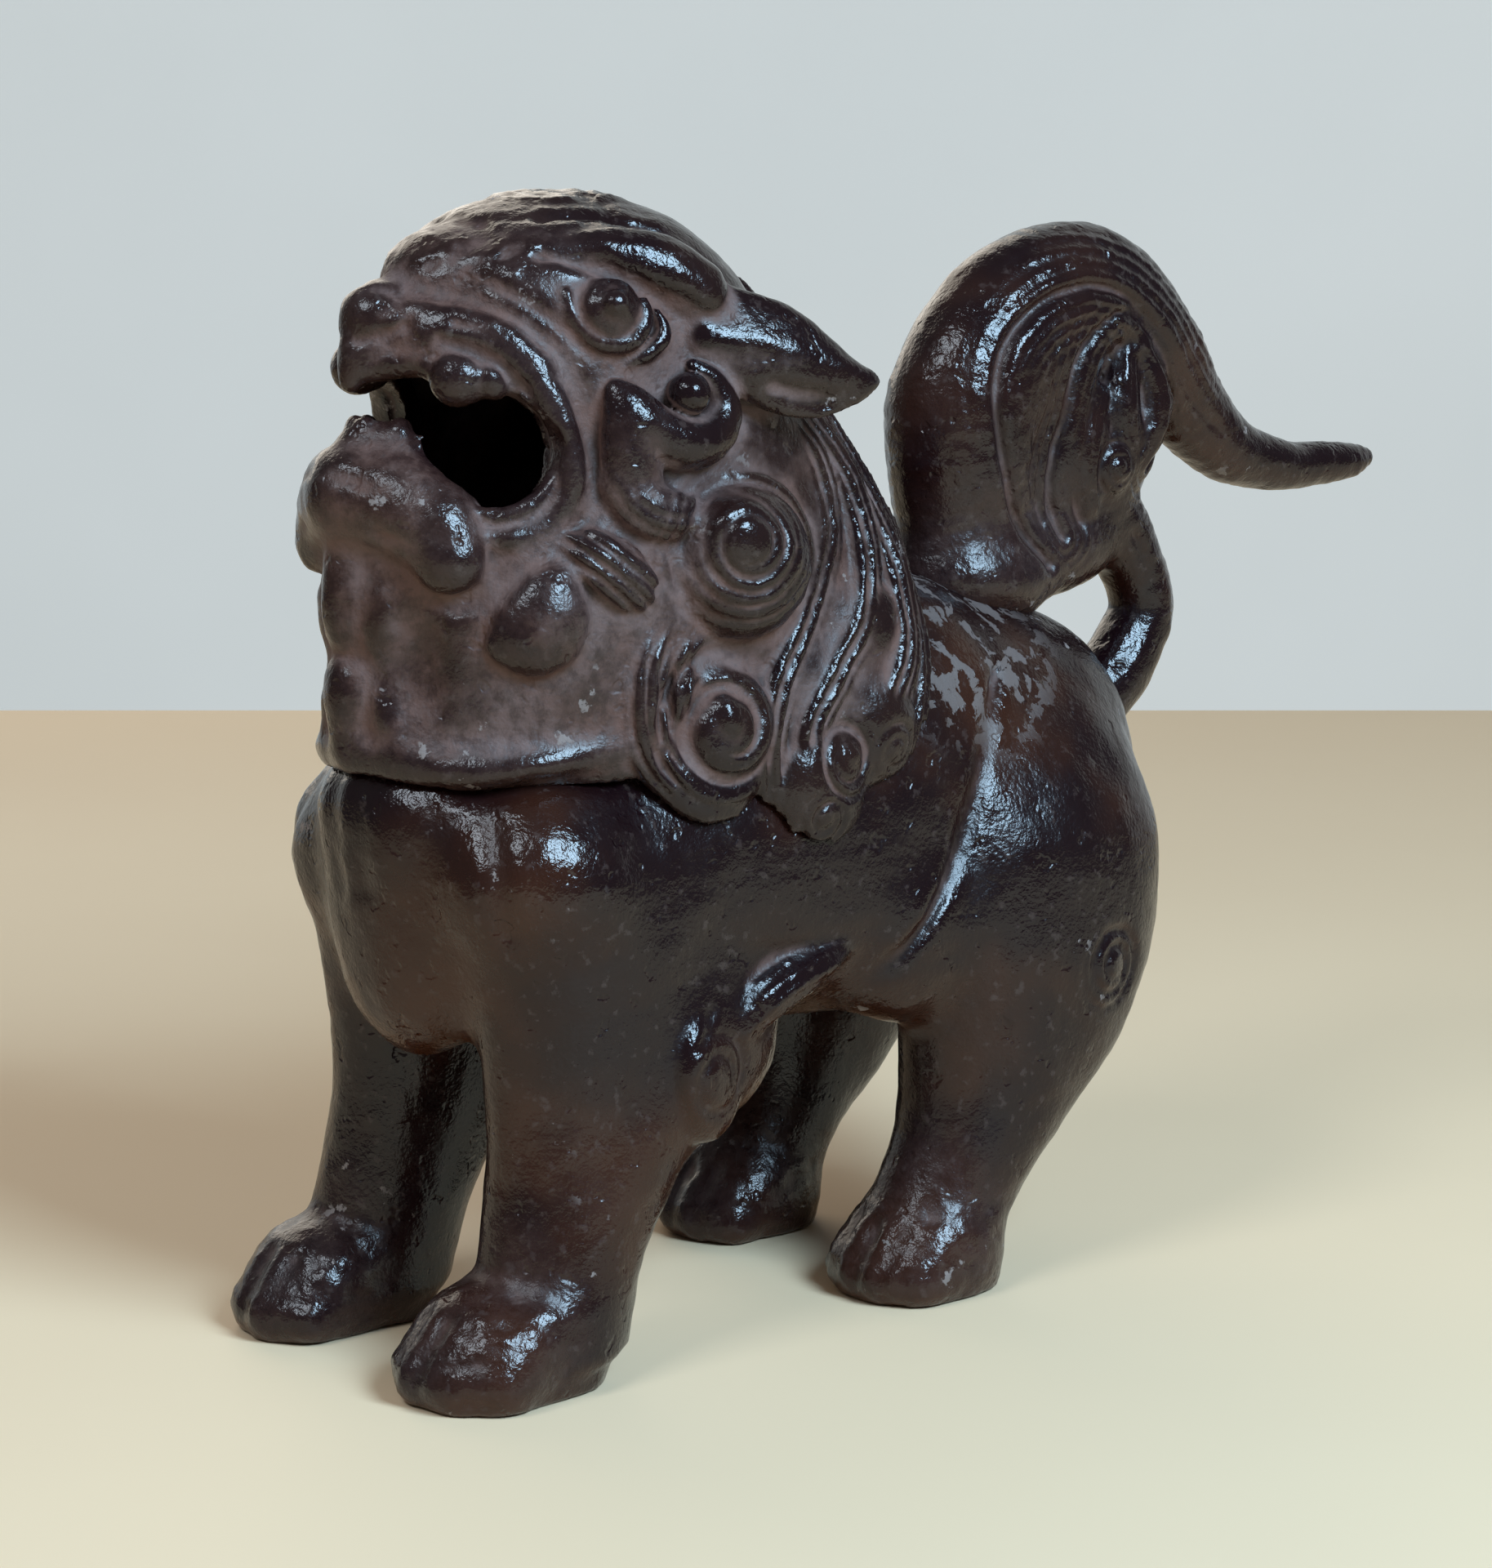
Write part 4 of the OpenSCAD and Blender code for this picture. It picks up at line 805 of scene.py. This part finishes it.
def cast(clay, name, faces, seed):
    """Meshes the clay, thins the mesh to its face count, roughens it a little and stores how hollow each place is."""
    d = np.concatenate([clay.d[:0:-1], clay.d])
    lo = np.array([-clay.axes[0][-1], clay.lo[1], clay.lo[2]])
    verts, quads = one_piece(*surface(d))
    verts = lo + verts * clay.step
    mesh = bpy.data.meshes.new(name)
    mesh.vertices.add(len(verts))
    mesh.vertices.foreach_set("co", verts.astype(F32).ravel())
    mesh.loops.add(4 * len(quads))
    mesh.loops.foreach_set("vertex_index", quads.ravel().astype(np.int32))
    mesh.polygons.add(len(quads))
    mesh.polygons.foreach_set("loop_start", np.arange(0, 4 * len(quads), 4, dtype=np.int32))
    mesh.update(calc_edges=True)
    obj = placed(name, mesh)
    if 2 * len(quads) > faces:
        thin = obj.modifiers.new("thin", "DECIMATE")
        thin.ratio = faces / (2 * len(quads))
        depsgraph = bpy.context.evaluated_depsgraph_get()
        thinned = bpy.data.meshes.new_from_object(obj.evaluated_get(depsgraph))
        obj.modifiers.clear()
        obj.data = thinned
        bpy.data.meshes.remove(mesh)
        mesh = thinned
        mesh.name = name
    p, normal = np.empty((2, 3 * len(mesh.vertices)), F32)
    mesh.vertices.foreach_get("co", p)
    mesh.vertex_normals.foreach_get("vector", normal)
    p, normal = p.reshape(-1, 3).astype(float), normal.reshape(-1, 3)
    solid = clamp(0.5 - d / (2 * clay.step))
    for key, reach, least in HOLLOWS:
        cells = max(least, round(reach / clay.step))
        values = sample(box_blur(box_blur(solid, cells), cells), lo, clay.step, p)
        mesh.attributes.new(key, "FLOAT", "POINT").data.foreach_set("value", values.astype(F32))
    waves = (high * wave_noise(p, long, seed + i) for i, (high, long) in enumerate(CAST_WAVES))
    p += normal * sum(waves)[:, None]
    p[:, 2] = np.maximum(p[:, 2], 0)
    p[:, 1] -= ORIGIN_Y
    mesh.vertices.foreach_set("co", (p / 1000).astype(F32).ravel())
    mesh.shade_smooth()
    mesh.update()
    return obj


# Materials

LACQUER = (0.0075, 0.0026, 0.0036, 1)
DUST_RED, DUST_MAUVE = (0.114, 0.058, 0.046, 1), (0.138, 0.087, 0.079, 1)
PAINTED_CREVICE_SHADE, RUBBED = (0.022, 0.0105, 0.0085, 1), (0.075, 0.052, 0.047, 1)
SPECK, FLAKE = (0.20, 0.165, 0.155, 1), (0.120, 0.094, 0.088, 1)


def node_maker(owner):
    """Clears the nodes of a material or world; make adds a node with its inputs and gives it, or its output out."""
    owner.use_nodes = True
    tree = owner.node_tree
    tree.nodes.clear()

    def make(kind, inputs=None, out=None, **props):
        node = tree.nodes.new(kind)
        for k, v in props.items():
            setattr(node, k, v)
        for k, v in (inputs or {}).items():
            if isinstance(v, bpy.types.NodeSocket):
                tree.links.new(v, node.inputs[k])
            else:
                node.inputs[k].default_value = v
        return node if out is None else node.outputs[out]

    return make


def ramp(make, value, low, high, start=0.0, end=1.0):
    """Colour from low to high while the value goes from start to end."""
    node = make("ShaderNodeValToRGB", {"Fac": value})
    for stop, position, colour in zip(node.color_ramp.elements, (start, end), (low, high)):
        stop.position, stop.color = position, colour
    return node.outputs["Color"]


def noise(make, place, scale, detail, rough=0.5, distortion=0.0):
    inputs = {"Vector": place, "Scale": scale, "Detail": detail, "Roughness": rough, "Distortion": distortion}
    return make("ShaderNodeTexNoise", inputs, "Fac")


def finish(make, inputs):
    shader = make("ShaderNodeBsdfPrincipled", inputs)
    make("ShaderNodeOutputMaterial", {"Surface": shader.outputs["BSDF"]})


def iron_material(name, dust, brown, flake_zone=None, dust_and_highlight_zones=()):
    """Worn dark lacquer on cast iron: mauve-brown dust in the hollows, pits, pale specks and flakes, with painted shade
    in the deepest crevices, a painted brownish reflection on faces that look down, and zones of thicker dust that can
    also paint in a highlight.
    """
    m = bpy.data.materials.new(name)
    make = node_maker(m)
    where = make("ShaderNodeTexCoord")
    place = where.outputs["Object"]

    def spots(scale, detail, rough=0.55, distortion=0.0):
        return noise(make, place, scale, detail, rough, distortion)

    def span(v, a, b, c=0.0, d=1.0):
        inputs = {"Value": v, "From Min": a, "From Max": b, "To Min": c, "To Max": d}
        return make("ShaderNodeMapRange", inputs, "Result", interpolation_type="SMOOTHSTEP")

    def calc(op, a, b, clamp=False):
        return make("ShaderNodeMath", {0: a, 1: b}, 0, operation=op, use_clamp=clamp)

    def plus(a, b):
        return calc("ADD", a, b, True)

    def minus(a, b):
        return calc("SUBTRACT", a, b, True)

    def times(a, b):
        return calc("MULTIPLY", a, b)

    def mix(f, a, b):
        return make("ShaderNodeMix", {0: f, 6: a, 7: b}, 2, data_type="RGBA")

    def inside(zone):
        centre, radius = zone
        offset = make("ShaderNodeVectorMath", {0: place, 1: centre}, "Value", operation="DISTANCE")
        return span(offset, radius, radius * 0.55)

    near = make("ShaderNodeAttribute", out="Fac", attribute_name="near")
    far = make("ShaderNodeAttribute", out="Fac", attribute_name="far")
    broad, mid, fine, grain = spots(26, 3), spots(130, 4, 0.62), spots(560, 3), spots(1500, 2)
    # Dust lies in the hollows, with a ragged edge, and thinly in patches
    low, high, share, patch = dust
    ragged = minus(mid, 0.4)
    shape = plus(plus(times(near, 1 - share), times(far, share)), times(ragged, 0.16))
    uneven = times(span(fine, 0.25, 0.6, 0.6, 1.0), span(spots(85, 4), 0.32, 0.58, 0.45, 1.0))
    dust_and_highlight_mask = plus(times(span(shape, low, high), uneven), times(span(broad, 0.48, 0.7), patch))
    cover = times(span(shape, low - 0.05, high - 0.04, 0.15, 0.85), span(spots(420, 5, 0.7), 0.34, 0.62, 0.4, 1.0))
    # Zones of thicker dust; on the brow and muzzle the lighter matte patch also paints in the broad highlight of the
    # lacquer.
    for zone in dust_and_highlight_zones:
        dust_and_highlight_mask = calc("MAXIMUM", dust_and_highlight_mask, times(inside(zone), cover))
    # Painted reflection: faces that look down turn from lacquer towards brown, as if lit by a brown table below; broad
    # random patches turn brown too, as the lacquer's own tone.
    facing = make("ShaderNodeSeparateXYZ", {0: where.outputs["Normal"]}, "Z")
    painted_bounce_and_patches = plus(times(span(facing, 0.1, -0.7), 0.6), times(span(broad, 0.46, 0.68), 0.6))
    tone = mix(span(spots(70, 3), 0.36, 0.64), DUST_RED, DUST_MAUVE)
    colour = mix(dust_and_highlight_mask, mix(painted_bounce_and_patches, LACQUER, brown), tone)
    # Painted shade: the deepest crevices are darkened where shade falls in them.
    colour = mix(times(span(near, 0.60, 0.71), 0.85), colour, PAINTED_CREVICE_SHADE)
    colour = mix(times(span(fine, 0.58, 0.72), 0.35), colour, RUBBED)
    # Pale specks in patches
    speck = times(span(spots(270, 5, 0.65), 0.63, 0.67), span(spots(48, 2), 0.53, 0.62))
    colour = mix(speck, colour, SPECK)
    worn = plus(near, times(ragged, 0.14))
    rough = plus(times(dust_and_highlight_mask, 0.42), span(worn, 0.46, 0.54, 0.14, 0.29))
    rough = plus(rough, times(speck, 0.3))
    pits = span(spots(300, 2), 0.62, 0.72)
    height = plus(times(fine, 0.5), times(grain, 0.4))
    height = minus(plus(height, 0.2), times(pits, 0.6))
    if flake_zone:
        # Flaked lacquer on one place of the back
        flake = times(inside(flake_zone), span(spots(230, 5, 0.6, 0.5), 0.53, 0.56))
        colour = mix(flake, colour, FLAKE)
        rough = plus(rough, times(flake, 0.3))
        height = minus(height, times(flake, 0.3))
    bump = make("ShaderNodeBump", {"Strength": 0.45, "Distance": 0.0006, "Height": height}, "Normal")
    finish(make, {"Base Color": colour, "Roughness": rough, "Normal": bump, "Specular IOR Level": 0.38})
    return m


def metal_material(name, light, dark, scale):
    """Bare metal, tarnished in patches."""
    m = bpy.data.materials.new(name)
    make = node_maker(m)
    place = make("ShaderNodeTexCoord", out="Object")
    patch, fine = noise(make, place, scale, 5), noise(make, place, scale * 12, 2)
    fade = {"Value": patch, "From Min": 0.3, "From Max": 0.7, "To Min": 0.55, "To Max": 0.3}
    rough = make("ShaderNodeMapRange", fade, "Result")
    bump = make("ShaderNodeBump", {"Strength": 0.25, "Distance": 0.0003, "Height": fine}, "Normal")
    colour = ramp(make, patch, dark, light, 0.35, 0.68)
    finish(make, {"Base Color": colour, "Metallic": 1.0, "Roughness": rough, "Normal": bump})
    return m


# Pieces

def lathe(name, profile, cy, z0, n=96):
    """Turned piece on the middle plane from a closed profile of radius and height, in millimetres."""
    bm = bmesh.new()
    turn = [math.tau * i / n for i in range(n)]
    loops = [[bm.verts.new((r * math.cos(a) / 1000, (cy + r * math.sin(a) - ORIGIN_Y) / 1000, (z0 + z) / 1000))
              for a in turn] for r, z in profile]
    for a, b in zip(loops[:-1], loops[1:]):
        for i in range(n):
            j = (i + 1) % n
            bm.faces.new((a[i], a[j], b[j], b[i]))
    bm.faces.new(loops[0][::-1])
    bm.faces.new(loops[-1])
    bmesh.ops.recalc_face_normals(bm, faces=bm.faces)
    mesh = bpy.data.meshes.new(name)
    bm.to_mesh(mesh)
    bm.free()
    mesh.shade_smooth()
    return placed(name, mesh)


# Places with their own wear, and a brow patch that also paints a highlight: centre and radius in metres
FLAKED = ((0.018, -0.002, 0.102), 0.026)
PAWS = [((x, y, 0.010), 0.021) for x in (0.0215, -0.0215) for y in (-0.096, -0.014)]
# Dust on the brow and muzzle, laid on thickly enough to also paint in the broad highlight of the lacquer there.
BEARD, BROW_DUST_AND_HIGHLIGHT = ((0.016, -0.087, 0.107), 0.042), ((0.010, -0.086, 0.146), 0.028)
TAIL_FOOT = ((0.004, 0.018, 0.102), 0.026)
# Each brown below colours the lacquer's random patches and also paints the brownish reflection on faces that look down.
BODY_IRON = iron_material("lacquered iron", (0.57, 0.70, 0.0, 0.05), (0.044, 0.0120, 0.0034, 1), FLAKED, PAWS)
HEAD_IRON = iron_material("dusty iron", (0.475, 0.56, 0.3, 0.06), (0.023, 0.0098, 0.0066, 1), None, [BEARD, BROW_DUST_AND_HIGHLIGHT])
TAIL_IRON = iron_material("lacquered iron tail", (0.56, 0.72, 0.0, 0.06), (0.036, 0.0115, 0.0060, 1), None, [TAIL_FOOT])
BRASS = metal_material("old brass", (0.42, 0.27, 0.11, 1), (0.10, 0.062, 0.030, 1), 90)
PIN_IRON = metal_material("bare iron", (0.22, 0.20, 0.19, 1), (0.07, 0.05, 0.04, 1), 300)

body = cast(sculpt_body(), "body_iron", 190000, 3)
head = cast(sculpt_head(), "head_iron", 198000, 11)
tail = cast(sculpt_tail(), "tail_iron", 150000, 23)
for obj, rides, node, material in ((body, "body", "body_casting", BODY_IRON), (head, "head", "head_cover", HEAD_IRON),
                                   (tail, "body", "tail_casting", TAIL_IRON)):
    obj.data.materials.append(material)
    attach(obj, rides)
    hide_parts(node)

CUP = [(0.01, 0), (12.4, 0), (13.1, 0.25), (13.5, 0.8), (18.4, 22.4), (19, 24.1), (19.6, 24.6), (20.6, 24.5),
       (21, 25), (21, 25.6), (20.6, 26), (18.2, 26), (17.4, 25.4), (16.9, 24), (12, 2.1), (11.4, 1.6), (0.01, 1.5)]
liner = lathe("liner_cup", CUP, FIRE_Y, HEARTH)
liner.data.materials.append(BRASS)
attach(liner, "liner")
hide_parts("ash_liner")
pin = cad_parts["tail_pin"]
pin.data.materials.clear()
pin.data.materials.append(PIN_IRON)


# Stage, light and camera

LIT_POINT = Vector((0, -0.02, 0.08))
VIEW_AZ, VIEW_EL, VIEW_DISTANCE = 50.721, 10.229, 0.600
VIEW_POINT = Vector((0.016852, (9.219 - ORIGIN_Y) / 1000, 0.080))
SENSOR_MM, FOCAL_PX, LONG_SIDE_PX = 36, 5084.854, 1920
FLOOR_END, WALL_AT = 0.52, 1.5
WORLD_GREY = 0.13


def direction(azimuth, elevation):
    a, e = math.radians(azimuth), math.radians(elevation)
    return Vector((math.sin(a) * math.cos(e), -math.cos(a) * math.cos(e), math.sin(e)))


def aim(obj, point, back, distance):
    """Puts a lamp or camera back from a point that it faces."""
    obj.location = point + back * distance
    obj.rotation_mode = "QUATERNION"
    obj.rotation_quaternion = back.to_track_quat("Z", "Y")


def area(name, azimuth, elevation, distance, size, power, colour):
    light = bpy.data.lights.new(name, "AREA")
    light.shape = "RECTANGLE"
    light.size, light.size_y = size
    light.energy, light.color = power, colour
    aim(placed(name, light), LIT_POINT, direction(azimuth, elevation), distance)


def stage_plane(name, corners, low, high, glow=0.0):
    """Plain painted plane; glow is the light that only the camera and clear reflections see on it."""
    mesh = bpy.data.meshes.new(name)
    mesh.from_pydata(corners, [], [range(len(corners))])
    m = bpy.data.materials.new(name)
    make = node_maker(m)
    place = make("ShaderNodeTexCoord", out="Object")
    tint = ramp(make, noise(make, place, 6, 4), low, high)
    paint = {"Base Color": tint, "Roughness": 0.7}
    if glow:
        ray = make("ShaderNodeLightPath").outputs
        seen = ray["Is Camera Ray"]
        for kind in ("Is Glossy Ray", "Is Transmission Ray"):
            seen = make("ShaderNodeMath", {0: seen, 1: ray[kind]}, 0, operation="MAXIMUM")
        paint["Emission Color"] = tint
        paint["Emission Strength"] = make("ShaderNodeMath", {0: seen, 1: glow}, 0, operation="MULTIPLY")
    finish(make, paint)
    mesh.materials.append(m)
    obj = placed(name, mesh)


area("window", 92, 38, 0.9, (0.36, 0.36), 13.0, (0.52, 0.77, 1.0))
area("sky", 14, 46, 1.0, (0.35, 0.3), 3.6, (0.80, 0.90, 1.0))
area("room", -105, 28, 1.2, (0.9, 0.9), 4.0, (1.0, 0.86, 0.70))

away, side = direction(VIEW_AZ + 180, 0), direction(VIEW_AZ + 90, 0)
FLOOR = [away * FLOOR_END + side * 2, away * FLOOR_END - side * 2]
FLOOR += [corner - away * 3 for corner in FLOOR[::-1]]
WALL_CORNERS = ((-3, -1), (3, -1), (3, 2), (-3, 2))
stage_plane("floor", FLOOR, (0.76, 0.57, 0.37, 1), (0.81, 0.62, 0.41, 1))
stage_plane("wall", [away * WALL_AT + side * x + Vector((0, 0, z)) for x, z in WALL_CORNERS],
            (0.60, 0.62, 0.60, 1), (0.65, 0.67, 0.65, 1), 0.62)

world = bpy.data.worlds.new("studio")
bpy.context.scene.world = world
make = node_maker(world)
pale = make("ShaderNodeBackground", {"Color": (WORLD_GREY, WORLD_GREY, WORLD_GREY, 1)})
make("ShaderNodeOutputWorld", {"Surface": pale.outputs[0]})

camera = bpy.data.cameras.new("camera")
camera.sensor_width = SENSOR_MM
camera.lens = SENSOR_MM * FOCAL_PX / LONG_SIDE_PX
camera.clip_start, camera.clip_end = 0.01, 20
eye = placed("camera", camera)
aim(eye, VIEW_POINT, direction(VIEW_AZ, VIEW_EL), VIEW_DISTANCE)
bpy.context.scene.camera = eye
bpy.context.scene.view_settings.view_transform = "Standard"
